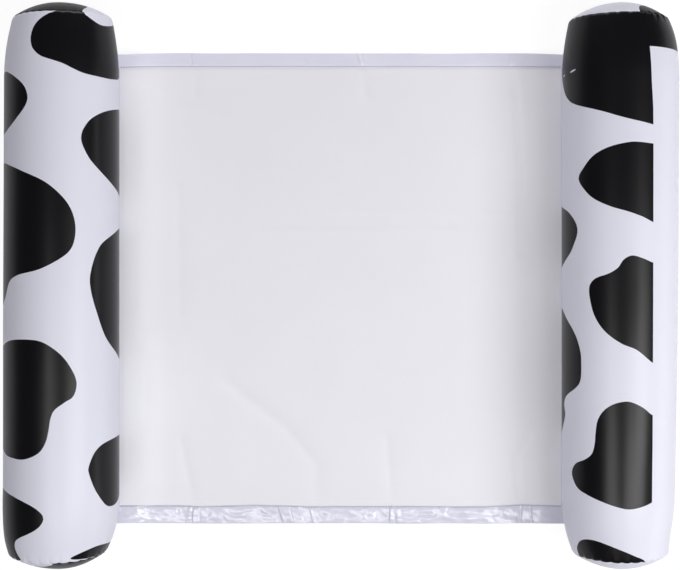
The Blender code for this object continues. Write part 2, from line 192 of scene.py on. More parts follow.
class Wire:
    """One output of a node, which can be used in a Python sum."""

    def __init__(self, owner, socket):
        self.owner, self.socket = owner, socket

    __add__, __radd__ = math_node("ADD"), math_node("ADD", swapped=True)
    __sub__, __rsub__ = math_node("SUBTRACT"), math_node("SUBTRACT", swapped=True)
    __mul__, __rmul__ = math_node("MULTIPLY"), math_node("MULTIPLY", swapped=True)
    __truediv__, __mod__ = math_node("DIVIDE"), math_node("MODULO")
    __abs__, sine, highest = math_node("ABSOLUTE"), math_node("SINE"), math_node("MAXIMUM")

    def step(self, low, high):
        """0 up to low, 1 from high on, and a smooth rise between."""
        limits = {"Value": self, "From Min": low, "From Max": high}
        return self.owner.node("ShaderNodeMapRange", {"interpolation_type": "SMOOTHSTEP"}, limits)

    def out(self, name):
        """Another output of the same node."""
        return Wire(self.owner, self.socket.node.outputs[name])


class Nodes:
    """A tree of nodes, and what makes new ones."""

    def __init__(self, tree):
        self.tree = tree

    def node(self, kind, settings=None, inputs=None, output=0):
        """A new node with these settings, values and wires. Gives one output, if it has any."""
        made = self.tree.nodes.new(kind)
        for setting, value in (settings or {}).items():
            setattr(made, setting, value)
        for socket, value in (inputs or {}).items():
            if isinstance(value, Wire):
                self.tree.links.new(value.socket, made.inputs[socket])
            else:
                made.inputs[socket].default_value = value
        return Wire(self, made.outputs[output]) if len(made.outputs) else None

    def seen_straight(self):
        """1 where the camera looks directly or through clear plastic, and the light path."""
        rays = self.node("ShaderNodeLightPath")
        return rays.out("Is Camera Ray").highest(rays.out("Is Transmission Ray")), rays


class Finish(Nodes):
    """A material: a Principled shader with constants, and the nodes in front of it."""

    def __init__(self, name, **constants):
        self.material = bpy.data.materials.new(name)
        self.material.use_nodes = True
        super().__init__(self.material.node_tree)
        self.shader = self.tree.nodes["Principled BSDF"]
        for socket, value in constants.items():
            self.shader.inputs[socket.replace("_", " ")].default_value = value

    def place(self):
        """The place of each point in the frame: every piece sits at the origin."""
        return self.node("ShaderNodeTexCoord").out("Object")

    def attribute(self, name, output="Fac"):
        """What store() kept for each point."""
        return self.node("ShaderNodeAttribute", {"attribute_name": name}).out(output)

    def vectors(self, operation, first, second, output=0):
        """A sum of two vectors. Its "Value" is a plain number."""
        both = {0: first, 1: second}
        return self.node("ShaderNodeVectorMath", {"operation": operation}, both, output)

    def noise(self, vector, scale, detail=2.0):
        sockets = {"Vector": vector, "Scale": scale, "Detail": detail}
        return self.node("ShaderNodeTexNoise", None, sockets)

    def mixed(self, share, first, second):
        """A colour between two."""
        return self.node("ShaderNodeMix", {"data_type": "RGBA"}, {0: share, 6: first, 7: second}, 2)

    def wear(self, colour=None, roughness=None, height=None, strength=1.0):
        """Joins what varies over the surface to the shader. Heights are in metres."""
        if height:
            sockets = {"Height": height, "Distance": 1.0, "Strength": strength}
            height = self.node("ShaderNodeBump", None, sockets)
        for wire, socket in ((colour, "Base Color"), (roughness, "Roughness"), (height, "Normal")):
            if wire:
                self.tree.links.new(wire.socket, self.shader.inputs[socket])
        return self.material


# %% [markdown]
# ## The shape of an air tube
#
# On the real object a tube is a sheet of film welded into a cylinder, with a round disc welded in
# at each end. When it is blown up, the disc domes and pulls the seam in, so the wall has too
# much film there and gathers into small puckers. The sizes are the CAD model's, apart from the
# front seams, the domes and the puckers, which follow the picture more closely here.

# %% Sizes of the tubes
TUBE_X, TUBE_Z, TUBE_RADIUS = 0.490, 0.09986, 0.100
SEAM_RADIUS, SHOULDER_LENGTH = 0.086, 0.107
SEAM_Y = {1: 0.4655, -1: 0.4700}          # the back end (1) and the front end (-1)
DOME_HEIGHT = {1: 0.0292, -1: 0.0240}
FILM, SEAM_GAP = 0.0004, 0.0003
GROOVE_DEPTH, GROOVE_REACH = 0.0012, 0.0045
PUCKER_COUNT, PUCKER_DEPTH, PUCKER_REACH = 30, 0.0008, 0.020
PUCKER_SHIFT, SHIFT_REACH = 0.0011, 0.012
WRINKLES, WRINKLE_DEPTH, WRINKLE_REACH = 67, 0.00048, 0.011
PUCKER_SHARE = {(-1, 1): 0.35, (1, 1): 0.50, (-1, -1): 0.60, (1, -1): 0.62}
LAP_TURN, TAB_TURN, VALVE_TURN = math.radians(-60), math.radians(215), math.radians(-24)
LAP_HALF, LAP_EDGE = 0.058, 0.010         # turns in radians
SWELL, SWELL_START = 0.00022, 0.06
VALVE_Y, FLANGE_GAP, HOLE_RADIUS = 0.330, 0.0003, 0.0062
COLUMNS, INNER_STEP = 360, 3              # points round a ring, and rings outside for one inside
DOME_SPHERE = {end: (SEAM_RADIUS**2 + rise**2) / (2 * rise) for end, rise in DOME_HEIGHT.items()}
DOME_RIM = {end: math.asin(SEAM_RADIUS / radius) for end, radius in DOME_SPHERE.items()}
low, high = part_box("tube_wall_right")
print("Right wall in the CAD model, x:", round(low.x, 4), round(high.x, 4))

# %% [markdown]
# A tube is measured by two numbers, as on a map: the turn round it, which is 0 at the outer side,
# 90 degrees on top and 180 at the side of the sling, and the distance along it.

# %% Helpers: places on a tube
def on_tube(side, turn, along, radius):
    """Points in the frame, for the right tube (1) or the left (-1)."""
    turn, along, radius = np.broadcast_arrays(turn, along, radius)
    x, z = side * (TUBE_X + radius * np.cos(turn)), TUBE_Z + radius * np.sin(turn)
    return np.stack([x, along, z], axis=-1)


def turn_and_along(side, points):
    """The other way: the turn and the distance along of points in the frame."""
    across = side * points[:, 0] - TUBE_X
    return np.arctan2(points[:, 2] - TUBE_Z, across), points[:, 1]


def fading(from_seam, reach):
    """1 at the seam, and softly down to 0 at the reach."""
    return np.clip(1 - from_seam / reach, 0, 1) ** 2


def shoulder_radius(from_seam):
    return TUBE_RADIUS - (TUBE_RADIUS - SEAM_RADIUS) * fading(from_seam, SHOULDER_LENGTH)


def beside(line, distance):
    """A line of (along, radius) points moved sideways, with its corners kept true."""
    line = np.asarray(line, float)
    step = np.diff(line, axis=0)
    step /= np.linalg.norm(step, axis=1)[:, None]
    back, ahead = np.vstack([step[:1], step]), np.vstack([step, step[-1:]])
    right = np.stack([back[:, 1], -back[:, 0]], axis=1)
    corner = right + np.stack([ahead[:, 1], -ahead[:, 0]], axis=1)
    corner /= np.linalg.norm(corner, axis=1)[:, None]
    return line + corner * (distance / (corner * right).sum(axis=1))[:, None]


# %% [markdown]
# The puckers: between two creases the film stands up in a round lobe. The lobes aren't all of one
# width, nor of one length, and finer wrinkles lie right at the seam. Both the wall and the disc
# use this one function, so that they stay together along the seam.

# %% Puckers round an end seam
def seam_relief(side, turn, from_seam, end):
    """How far the film stands out, and how far it shifts along the tube, near an end seam."""
    share = PUCKER_SHARE[side, end]
    if (side, end) == (1, 1):
        share = share + 0.9 * np.exp(-(((turn - 0.75) / 0.40) ** 2))
    turn = turn + 0.9 * end
    drift = 0.030 * np.sin(3 * turn + 0.6) + 0.020 * np.sin(5 * turn + 2.1)
    drift = drift + 0.015 * np.sin(9 * turn)
    lobes = 2 * np.abs(np.sin(PUCKER_COUNT / 2 * (turn + drift))) ** 0.8 - 1
    strength = 0.8 + 0.35 * np.sin(4 * turn + 1.0) * np.cos(3 * turn)
    reach = PUCKER_REACH * (1 + 0.3 * np.sin(5 * turn + 0.4) * np.cos(2 * turn))
    wrinkles = np.sin(WRINKLES * turn + 2 * np.sin(6 * turn)) * fading(from_seam, WRINKLE_REACH)
    lift = PUCKER_DEPTH * strength * fading(from_seam, reach) * lobes + WRINKLE_DEPTH * wrinkles
    shift = PUCKER_SHIFT * strength * lobes * fading(from_seam, SHIFT_REACH)
    return lift * share, shift * share


def seam_groove(from_seam):
    """Both films curl down into the seam."""
    return GROOVE_DEPTH * fading(from_seam, GROOVE_REACH)


# %% [markdown]
# No end is drawn in quite evenly. For each end there are a few soft changes: the side on which the
# film comes further in, how wide that side is, and how far it comes in and back along the tube.

# %% Uneven ends
BACK_REACH = 0.050
END_SHAPES = {
    # middle, width below and above it in degrees round the tube, then in, back and reach in metres
    (-1, -1): [(178, 85, 85, 0.0080, 0.0042, 0.075), (12, 80, 80, -0.0085, 0.0020, 0.140),
               (12, 80, 80, 0.0045, 0.0, 0.045)],
    (1, -1): [(178, 80, 80, 0.0050, 0.0010, 0.070), (24, 44, 86, 0.0103, 0.0, 0.620),
              (10, 80, 90, -0.0055, 0.0020, 0.045)],
    (-1, 1): [(178, 80, 80, -0.0020, -0.0038, 0.100), (20, 80, 80, 0.0, 0.0002, 0.050),
              (24, 44, 86, 0.0025, 0.0, 0.900)],
    (1, 1): [(90, 180, 180, 0.0, 0.0012, 0.050), (10, 80, 80, 0.0038, 0.0040, 0.055),
             (24, 44, 86, -0.0028, 0.0, 0.800), (178, 80, 80, -0.0020, 0.0, 0.100)],
}


def drawn_end(side, end, turn, from_seam, share=1.0):
    """How far in and back the film comes near an end. The share fades it on a disc."""
    inwards, back = np.zeros_like(turn), np.zeros_like(turn)
    for middle, below, above, depth, pull, reach in END_SHAPES[side, end]:
        aside = (turn - math.radians(middle) + math.pi) % (2 * math.pi) - math.pi
        half_width = np.radians(np.where(aside < 0, below, above))
        width = np.cos(np.clip(aside / half_width, -1, 1) * math.pi / 2) ** 2
        inwards += depth * width * fading(from_seam, reach) * share
        back += pull * width * fading(from_seam, BACK_REACH) * share**2
    return inwards, back


# %% [markdown]
# The wall is a loop of rings: outside from one end's turned-in lip to the other, and back on the
# inside, one film thickness further in. The rings lie close together near the seams, where the
# puckers need them.

# %% Rings of the wall and of the end discs
WALL_STEPS = (0, 0.0003, 0.0008, 0.0015, 0.0025, 0.004, 0.006, 0.008, 0.0105, 0.013, 0.016,
              0.0195, 0.023, 0.027, 0.032, 0.038, 0.045, 0.052)
DISC_STEPS = (0, 0.0004, 0.001, 0.002, 0.0035, 0.005, 0.007, 0.009, 0.012, 0.015, 0.019, 0.023,
              0.028, 0.033, 0.040, 0.048, 0.056, 0.065, 0.075, 0.085)
LIP_REACHES, EVEN_START, EVEN_RINGS = (0.002, 0.005), 0.058, 68
wall_slope = 2 * (TUBE_RADIUS - SEAM_RADIUS) / SHOULDER_LENGTH
wall_way = np.array([-1, wall_slope]) / math.hypot(1, wall_slope)


def lip_way(end):
    """The way in which both turned-in lips of a seam run, for a seam at the back."""
    disc_way = np.array([math.sin(DOME_RIM[end]), -math.cos(DOME_RIM[end])])
    return (wall_way + disc_way) / np.linalg.norm(wall_way + disc_way)


def seam_place(end, piece_side):
    """Where the wall (-1) or the disc (1) turns in at a seam: half the gap from its middle."""
    return SEAM_Y[end] + piece_side * SEAM_GAP / 2 / abs(lip_way(end)[1])


def wall_profile():
    """(along, radius), the distance from the seam, and the end, of each ring outside."""
    halves = {}
    for end in (1, -1):
        seam = np.array([seam_place(end, -1), SEAM_RADIUS])
        half = [(seam + lip_way(end) * reach, 0.0) for reach in reversed(LIP_REACHES)]
        steps = [*WALL_STEPS, *np.linspace(EVEN_START, SEAM_Y[end], EVEN_RINGS)[:-1]]
        half += [(np.array([seam[0] - step, shoulder_radius(step)]), step) for step in steps]
        halves[end] = [(point * (end, 1), step, end) for point, step in half]
    return halves[1] + [(np.array([0.0, TUBE_RADIUS]), SEAM_Y[1], 1)] + halves[-1][::-1]


def disc_profile(end):
    """The same for a disc, from near its middle to its turned-in rim."""
    sphere, rim_angle = DOME_SPHERE[end], DOME_RIM[end]
    rings = []
    for step in reversed(DISC_STEPS):
        angle = rim_angle - step / sphere
        rise = sphere * (math.cos(angle) - math.cos(rim_angle))
        rings.append((np.array([seam_place(end, 1) + rise, sphere * math.sin(angle)]), step))
    rim = rings[-1][0]
    rings += [(rim + lip_way(end) * reach, 0.0) for reach in LIP_REACHES]
    return [(point * (end, 1), step, end) for point, step in rings]


print("Rings on the wall:", len(wall_profile()), "on a disc:", len(disc_profile(1)))

# %% Turning a profile into film
def film_rings(side, profile, thickness_side, disc=False):
    """Rings of points: outside in order, then inside in reverse, with the puckers put on.

    The wall's edges lap over each other along one line, which a disc doesn't have.
    """
    places = np.array([point for point, _, _ in profile])
    steps = np.array([step for _, step, _ in profile])
    ends = np.array([end for _, _, end in profile])
    inner = beside(places, thickness_side * FILM)
    keep = sorted({*range(0, len(profile), INNER_STEP), 1, len(profile) - 2, len(profile) - 1})
    order = [(places[k], steps[k], ends[k]) for k in range(len(profile))]
    order += [(inner[k], steps[k], ends[k]) for k in reversed(keep)]
    turn = np.arange(COLUMNS) * 2 * math.pi / COLUMNS
    rings = []
    for (along, radius), step, end in order:
        lift, shift = seam_relief(side, turn, step, end)
        share = radius / SEAM_RADIUS if disc and step > 0 else 1.0
        inwards, back = drawn_end(side, end, turn, 0 if disc else step, share)
        if not disc:
            inwards = inwards + drawn_end(side, -end, turn, SEAM_Y[1] + SEAM_Y[-1] - step)[0]
        lift, shift = lift - seam_groove(step) - inwards, shift - back
        lap = np.abs((turn - LAP_TURN + math.pi) % (2 * math.pi) - math.pi)
        if step > 0 and not disc:
            lift = lift + FILM * np.clip((LAP_HALF - lap) / LAP_EDGE, 0, 1)
        swell = SWELL * ripples(turn / (2 * math.pi) * 16, np.full(COLUMNS, along), 1.0, 0.085, 5)
        swollen = radius + lift + swell * min(1, step / SWELL_START)
        rings.append(on_tube(side, turn, along + end * shift, swollen))
    return np.array(rings)


def air_wall(side, name):
    rings = film_rings(side, wall_profile(), -1)
    faces = grid_faces(len(rings), COLUMNS, closed_rows=True, closed_columns=True)
    return piece_from(name, rings, faces)


def end_disc(side, end, name):
    """A disc's rings, with a fan of faces round its middle on both sides."""
    rings = film_rings(side, disc_profile(end), -end, disc=True)
    outer_pole = on_tube(side, 0, end * (seam_place(end, 1) + DOME_HEIGHT[end]), 0)
    inner_pole = outer_pole - np.array([0, end * FILM, 0])
    count = len(rings) * COLUMNS
    points = np.vstack([rings.reshape(-1, 3), outer_pole, inner_pole])
    faces = grid_faces(len(rings), COLUMNS, closed_columns=True)
    last = count - COLUMNS
    for k in range(COLUMNS):
        after = (k + 1) % COLUMNS
        faces += [[count, k, after], [count + 1, last + after, last + k]]
    return piece_from(name, points, faces)


walls = {side: air_wall(side, "air_wall_" + tube) for side, tube in SIDE_NAMES.items()}
discs = {}
for side, tube in SIDE_NAMES.items():
    for end, end_name in END_NAMES.items():
        discs[side, end] = end_disc(side, end, f"air_disc_{tube}_{end_name}")
for piece in (*walls.values(), *discs.values()):
    report(piece)

# %% [markdown]
# ## A hole for the valve
#
# The valve's stem slides through a round hole in the wall. A Boolean cuts it, and the result is
# made a plain mesh at once, so that nothing live is left on the piece.

# %% Cut the valve holes
def valve_frame(side):
    """The valve's own axes: X and Y lie along the wall, and Z points out of the tube."""
    out = Vector((side * math.cos(VALVE_TURN), 0, math.sin(VALVE_TURN)))
    along = Vector((0, side, 0))
    across = along.cross(out)
    seat = Vector((side * TUBE_X, -side * VALVE_Y, TUBE_Z)) + out * (TUBE_RADIUS + FLANGE_GAP)
    turn = Matrix((across, along, out)).transposed().to_4x4()
    return Matrix.Translation(seat) @ turn


def made_plain(piece):
    """Applies a piece's modifiers and removes them."""
    graph = bpy.context.evaluated_depsgraph_get()
    data = bpy.data.meshes.new_from_object(piece.evaluated_get(graph))
    piece.modifiers.clear()
    piece.data = data
    return piece


for side, wall in walls.items():
    shape = bmesh.new()
    bmesh.ops.create_cone(
        shape, cap_ends=True, segments=48, radius1=HOLE_RADIUS, radius2=HOLE_RADIUS, depth=0.02
    )
    bmesh.ops.transform(shape, matrix=valve_frame(side), verts=shape.verts)
    cutter = placed("hole_cutter", mesh_from("hole_cutter", shape))
    boolean = wall.modifiers.new("hole", "BOOLEAN")
    boolean.operation, boolean.solver, boolean.object = "DIFFERENCE", "EXACT", cutter
    made_plain(wall)
    bpy.data.objects.remove(cutter)
    report(wall)

# %% [markdown]
# ## The printed spots
#
# The film is printed before it is welded. Each spot is drawn here by a few corners in degrees round
# the tube and millimetres along it, joined by a smooth closed curve. For each point of the mesh
# the distance to the nearest edge is worked out, below zero inside a spot. The material turns that
# distance into ink, so the edge stays crisp however coarse the mesh is.

# %% Spots on the left tube
LEFT_SPOTS = [
    [(104, 500), (98, 470), (93, 463), (87.5, 460), (78, 450.5), (72, 438.5), (69.5, 424.5),
     (70, 412), (73, 400), (81, 388), (92, 381), (103, 375), (113, 367), (125, 360), (146, 357),
     (162, 358), (181, 364), (197, 382), (207, 412), (200, 440), (187, 458), (172, 453),
     (160, 449), (149.5, 447.5), (142, 450.4), (132, 458.6), (127, 467), (124, 500)],
    [(27, 368), (42, 361), (54, 350), (62, 339), (66, 327), (67, 316), (64, 304), (56, 290),
     (42, 273), (24, 262), (5, 264), (-5, 285), (-7, 315), (-1, 345), (12, 364)],
    [(20, 211), (40, 205), (58, 195), (84, 176), (101, 152), (111, 127), (115, 97), (112, 67),
     (102, 48), (80, 28), (54, 18), (40, 6), (30, -20), (14, -36), (-4, -30), (-22, 4), (-20, 50),
     (-30, 100), (-24, 160), (0, 200)],
    [(30, -100), (48, -93), (72, -92), (86, -98), (101, -117), (111, -141), (116, -164),
     (113, -186), (105, -196), (95, -209), (91, -224), (89, -246), (86, -265), (79, -282),
     (64, -293), (48, -293), (30, -288), (8, -270), (-6, -236), (2, -196), (-8, -156), (2, -118)],
    [(18, -351), (46, -358), (69, -370), (80, -381), (84, -391), (82, -401), (76, -411),
     (66, -420), (55, -428), (48, -436), (46, -450), (50, -490), (-10, -490), (-18, -440),
     (-12, -390), (0, -360)],
    [(183, 309), (152, 300), (133, 285), (124, 267), (121, 250), (124, 233), (132, 212),
     (149, 188), (170, 168), (192, 156), (212, 170), (224, 205), (226, 250), (215, 290),
     (200, 306)],
    [(183, 100), (150, 78), (138, 56), (131, 21), (131, -4), (137, -40), (150, -88), (170, -116),
     (190, -130), (212, -116), (224, -60), (216, -5), (224, 50), (208, 94)],
    [(183, -263), (152, -269), (137, -282), (129, -308), (130, -323), (137, -350), (149, -375),
     (160, -381), (174, -377), (190, -364), (210, -335), (216, -300), (204, -270)],
    [(112, -463), (126, -454), (143, -448), (158, -448), (174, -450), (190, -452), (198, -458),
     (188, -463), (165, -465), (145, -466), (128, -466)],
    [(262, 402), (244, 380), (246, 340), (268, 322), (290, 334), (304, 362), (292, 396)],
    [(300, 236), (276, 214), (262, 176), (276, 140), (300, 132), (312, 166), (318, 210)],
    [(254, -150), (246, -196), (258, -240), (284, -252), (298, -222), (288, -180), (276, -146)],
    [(318, -318), (296, -330), (274, -372), (262, -420), (284, -440), (312, -412), (326, -366)],
    [(262, 60), (250, 30), (262, -30), (290, -56), (306, -20), (296, 30), (280, 66)],
]
print("Spots on the left tube:", len(LEFT_SPOTS))

# %% Spots on the right tube, and the plain strip
RIGHT_SPOTS = [
    [(100, 500), (40, 500), (0, 500), (-24, 490), (-26, 440), (-8, 408), (12, 396), (40, 380),
     (52, 264), (68, 272), (96, 283), (121, 297), (150, 312), (163, 324), (173, 342), (185, 375),
     (195, 405), (198, 440), (187, 480), (160, 500)],
    [(56, 240), (68, 239), (81, 241), (92, 241), (111, 234), (127, 221), (138, 202), (145, 183),
     (136, 161), (126, 147), (110, 134), (93, 125), (80, 117), (60, 104), (44, 120), (40, 220)],
    [(196, 140), (176, 135), (161, 126), (150, 109), (147, 92), (152, 72), (161, 53), (183, 33),
     (202, 34), (216, 62), (218, 100), (210, 130)],
    [(52, 30), (68, 38), (80, 46), (90, 50), (98, 43), (103, 30), (112, 20), (126, 11), (132, -4),
     (130, -31), (125, -55), (115, -78), (100, -97), (85, -108), (67, -131), (50, -138),
     (42, -60)],
    [(183, -41), (161, -65), (149, -88), (143, -114), (142, -136), (143, -162), (150, -176),
     (167, -192), (173, -207), (170, -227), (183, -256), (202, -262), (218, -225), (212, -170),
     (224, -110), (206, -52)],
    [(55, -216), (67, -220), (79, -206), (90, -197), (98, -196), (108, -201), (117, -212),
     (123, -229), (125, -250), (126, -269), (129, -286), (137, -297), (149, -306), (155, -320),
     (153, -333), (146, -347), (134, -356), (117, -366), (103, -373), (92, -376), (79, -372),
     (66, -364), (52, -350), (46, -290)],
    [(158, -462), (154, -448), (146, -438), (136, -434), (125, -435), (112, -441), (97, -450),
     (84, -459), (72, -468), (62, -490), (100, -520), (150, -500)],
    [(262, 410), (240, 390), (236, 350), (256, 330), (286, 342), (300, 376), (286, 408)],
    [(310, 250), (284, 236), (268, 196), (280, 150), (306, 140), (320, 180), (324, 226)],
    [(256, 100), (242, 60), (250, 10), (276, -6), (296, 24), (288, 70)],
    [(316, -60), (290, -84), (276, -130), (290, -176), (316, -186), (328, -140), (330, -90)],
    [(258, -250), (244, -290), (252, -340), (282, -352), (300, -312), (286, -262)],
    [(306, -396), (280, -410), (262, -440), (284, -456), (316, -448), (322, -416)],
]
PLAIN_STRIP = [(74, 460), (71.4, 404), (70, 346), (68.3, 300), (68, 250), (68, -600), (8, -600),
               (8, 460)]
STRIP_TOP = 0.404
print("Spots on the right tube:", len(RIGHT_SPOTS))

# %% Spots on the end discs, in millimetres outwards and up from the middle
DISC_SPOTS = {
    (-1, 1): [
        [(-50, 98), (-49, 66), (-51, 34), (-36, 6), (0, -12), (40, -8), (75, 8), (98, 20),
         (98, 98)],
        [(-44, -16), (-62, -42), (-40, -68), (-6, -60), (2, -34), (-18, -18)],
    ],
    (1, 1): [
        [(17, 98), (17.5, 84), (19, 70), (24, 58), (32, 46), (48, 28), (75, 12), (98, 20),
         (98, 98)],
        [(-52, 6), (-22, 2), (-6, -24), (-24, -50), (-54, -46), (-70, -18)],
    ],
    (-1, -1): [
        [(-12, 98), (-2, 80), (10, 70), (22, 61), (40, 44), (36, 14), (-10, -8), (-52, 0),
         (-98, 16), (-98, 98)],
        [(10, -30), (40, -24), (54, -46), (30, -70), (0, -64), (-8, -44)],
    ],
    (1, -1): [
        [(-30, 2), (8, 0), (34, -24), (16, -56), (-22, -52), (-44, -26)],
        [(60, -20), (84, -8), (96, -34), (70, -60), (52, -42)],
    ],
}


def smooth_outline(corners, steps=8):
    """A closed smooth curve through the corners."""
    here = np.array(corners, float)
    before, after, beyond = np.roll(here, 1, 0), np.roll(here, -1, 0), np.roll(here, -2, 0)
    t = np.linspace(0, 1, steps, endpoint=False)[:, None, None]
    curve = 2 * here + (after - before) * t + (2 * before - 5 * here + 4 * after - beyond) * t**2
    curve = curve + (3 * here - before - 3 * after + beyond) * t**3
    return (curve / 2).transpose(1, 0, 2).reshape(-1, 2)


FAR = 0.02


def edge_distance(points, outline):
    """Distance of each point to the outline, below zero inside it, and no more than FAR."""
    found = np.full(len(points), FAR)
    near = ((points > outline.min(0) - FAR) & (points < outline.max(0) + FAR)).all(1)
    some = points[near]
    nearest, inside = np.full(len(some), 1.0), np.zeros(len(some), bool)
    for start, end in zip(outline, np.roll(outline, -1, 0)):
        edge = end - start
        nearest = np.minimum(nearest, (from_segment(some, start, end) ** 2).sum(1))
        level = (start[1] > some[:, 1]) != (end[1] > some[:, 1])
        with np.errstate(divide="ignore", invalid="ignore"):
            crossing = start[0] + (some[:, 1] - start[1]) * edge[0] / edge[1]
        inside ^= level & (some[:, 0] < crossing)
    found[near] = np.minimum(np.sqrt(nearest), FAR) * np.where(inside, -1, 1)
    return found


def unrolled(outline):
    """Degrees and millimetres made metres on the flat film."""
    return np.asarray(outline, float) * (math.radians(TUBE_RADIUS), 0.001)


def print_distance(flat, outlines):
    """The nearest of several outlines. A spot is found a whole turn further on as well."""
    whole = 2 * math.pi * TUBE_RADIUS
    found = np.full(len(flat), FAR)
    for outline in outlines:
        for shift in (-whole, 0.0, whole):
            found = np.minimum(found, edge_distance(flat, outline + (shift, 0)))
    return found


# %% Put the print on the walls and discs
for side, spots in ((1, RIGHT_SPOTS), (-1, LEFT_SPOTS)):
    turn, along = turn_and_along(side, points_of(walls[side]))
    flat = np.stack([(turn % (2 * math.pi)) * TUBE_RADIUS, along], axis=1)
    outlines = [unrolled(smooth_outline(spot)) for spot in spots]
    store(walls[side], "ink", print_distance(flat, outlines))
    strip = edge_distance(flat, unrolled(PLAIN_STRIP)) if side > 0 else np.full(len(flat), FAR)
    store(walls[side], "strip", strip)
for (side, end), spots in DISC_SPOTS.items():
    disc = discs[side, end]
    places = points_of(disc)
    flat = np.stack([side * places[:, 0] - TUBE_X, places[:, 2] - TUBE_Z], axis=1)
    distances = [edge_distance(flat, smooth_outline(spot) * 0.001) for spot in spots]
    store(disc, "ink", np.min(distances, axis=0))
    store(disc, "strip", np.full(len(flat), FAR))
print("Print is on", len(walls) + len(discs), "pieces")

# %% [markdown]
# ## Printed film
#
# The film is white soft plastic with a satin face and black ink. Soft plastic reflects less than
# glass, so its specular level is low. The ink is a little smoother than the bare film. A faint
# grain and long soft ripples break up the reflections, and round the valve the flange's weld
# shows as a shallow ring. Near the right tube's back end the film is pinched into two small dents,
# and a pale painted highlight in each stands for the lamps' glint there. The discs' film is duller
# than the walls', for it is stretched less.

# %% Material of the printed film
# turn in degrees, then along, half length, half width in metres, and how strong the painted
# highlight is
PINCH_DENTS_AND_GLINTS = [(154, 0.370, 0.0095, 0.0018, 0.9), (173, 0.3665, 0.006, 0.0018, 0.6)]
INK_EDGE, STRIP_EDGE = (0.00035, 0.00080), (-0.00015, 0.00015)
FLANGE_EDGE, WELD_RING = (0.0150, 0.0158), (0.0118, 0.0126)


def printed_film(name, side, shine):
    finish = Finish(name, Specular_IOR_Level=shine, IOR=1.5)
    where = finish.place()
    ink = 1 - finish.attribute("ink").step(*INK_EDGE)
    along = finish.node("ShaderNodeSeparateXYZ", None, {0: where}).out("Y")
    ink = ink * finish.attribute("strip").highest(along - STRIP_TOP).step(*STRIP_EDGE)
    cloudy = finish.noise(where, 9.0, 3.0)
    white = finish.mixed(cloudy, (0.715, 0.725, 0.81, 1), (0.75, 0.755, 0.835, 1))
    black = finish.mixed(cloudy, (0.0020, 0.0020, 0.0026, 1), (0.0035, 0.0035, 0.0045, 1))
    grain = finish.noise(where, 900.0, 1.0)
    streaks = finish.noise(finish.vectors("MULTIPLY", where, (60.0, 3.0, 60.0)), 1.0)
    valve = tuple(valve_frame(side or 1).to_translation())
    ring = finish.vectors("DISTANCE", where, valve, "Value")
    weld = ring.step(*WELD_RING) * (1 - ring.step(*FLANGE_EDGE))
    height = grain * 0.00001 + streaks * 0.00012 + weld * 0.00025
    rough = 0.36 - 0.075 * ink + 0.05 * cloudy
    colour = finish.mixed(ink, white, black)
    for turn, along_at, length, width, pale in PINCH_DENTS_AND_GLINTS if side > 0 else ():
        turn = math.radians(turn)
        middle = tuple(on_tube(1, turn, along_at, TUBE_RADIUS).tolist())
        offset = finish.vectors("SUBTRACT", where, middle)
        round_way = Vector((math.sin(turn), 0.2, -math.cos(turn))).normalized()
        cross_way = (Vector((0, 1, 0)) - round_way * round_way.y).normalized()
        first = finish.vectors("DOT_PRODUCT", offset, tuple(round_way), "Value") / length
        second = finish.vectors("DOT_PRODUCT", offset, tuple(cross_way), "Value") / width
        dent_and_painted_glint = 1 - (first * first + second * second).step(0.4, 1.0)
        # Painted highlight: a pale colour in each dent stands for the lamps' glint in it.
        colour = finish.mixed(dent_and_painted_glint * pale, colour, (0.86, 0.86, 0.89, 1))
        height = height + dent_and_painted_glint * 0.0004
    return finish.wear(colour, rough, height)


for side, tube in SIDE_NAMES.items():
    walls[side].data.materials.append(printed_film("printed_wall_" + tube, side, shine=0.27))
    disc_film = printed_film("printed_disc_" + tube, 0, shine=0.09)
    for end in (1, -1):
        discs[side, end].data.materials.append(disc_film)
print("Printed film:", len(walls) + 2, "materials")

# %% [markdown]
# ## The sling's path
#
# The mesh lies flat on the floor, bends up near each tube and ends on the line where the tube
# folds. Everything that is sewn to it follows the same line, so a place on the sling is given by
# how far across it is, measured along the cloth, and how far along the tubes.

# %% Sizes of the sling, and its line
SLING_FRONT, SLING_BACK, MIDDLE_HEIGHT = -0.436, 0.4255, 0.001
SLOPE, BEND_RADIUS, FLAT_HALF = math.radians(35), 0.110, 0.314127
RISE_LENGTH = 0.032678
FOLD_ACROSS = FLAT_HALF + BEND_RADIUS * SLOPE + RISE_LENGTH
MESH_THICKNESS, HEM_FILM, TAPE_WIDTH = 0.0006, 0.0004, 0.006
HEM_WIDTHS = {-1: 0.033, 1: 0.026}
DRAWN_IN = {-1: 0.42, 1: 0.50}            # for each metre that the sling rises, at either end
# across in metres, and how much wider the front hem is there in millimetres
HEM_WAVE = [(-0.414, 0.4), (-0.30, 0.9), (-0.258, -1.0), (-0.16, 1.6), (-0.10, 0.6), (-0.054, -1.2),
            (0.0, -0.6), (0.08, -0.8), (0.14, -0.4), (0.22, -1.3), (0.27, -0.8), (0.33, 2.2),
            (0.37, 1.4), (0.414, -0.2)]


def hem_width(end, across):
    """How wide a hem is. The front hem's sewn edge isn't quite straight."""
    places, wider = np.array(HEM_WAVE).T
    return HEM_WIDTHS[end] + (0.001 * np.interp(across, places, wider) if end < 0 else 0 * across)


def sling_line(across):
    """Points (x, z) of the sling's middle line, and its upward normals."""
    side, far = np.sign(across), np.abs(across)
    bend = np.clip((far - FLAT_HALF) / BEND_RADIUS, 0, SLOPE)
    beyond = np.clip(far - FLAT_HALF - BEND_RADIUS * SLOPE, 0, None)
    x = np.minimum(far, FLAT_HALF) + BEND_RADIUS * np.sin(bend) + beyond * math.cos(SLOPE)
    z = MIDDLE_HEIGHT + BEND_RADIUS * (1 - np.cos(bend)) + beyond * math.sin(SLOPE)
    return side * x, z, -side * np.sin(bend), np.cos(bend)


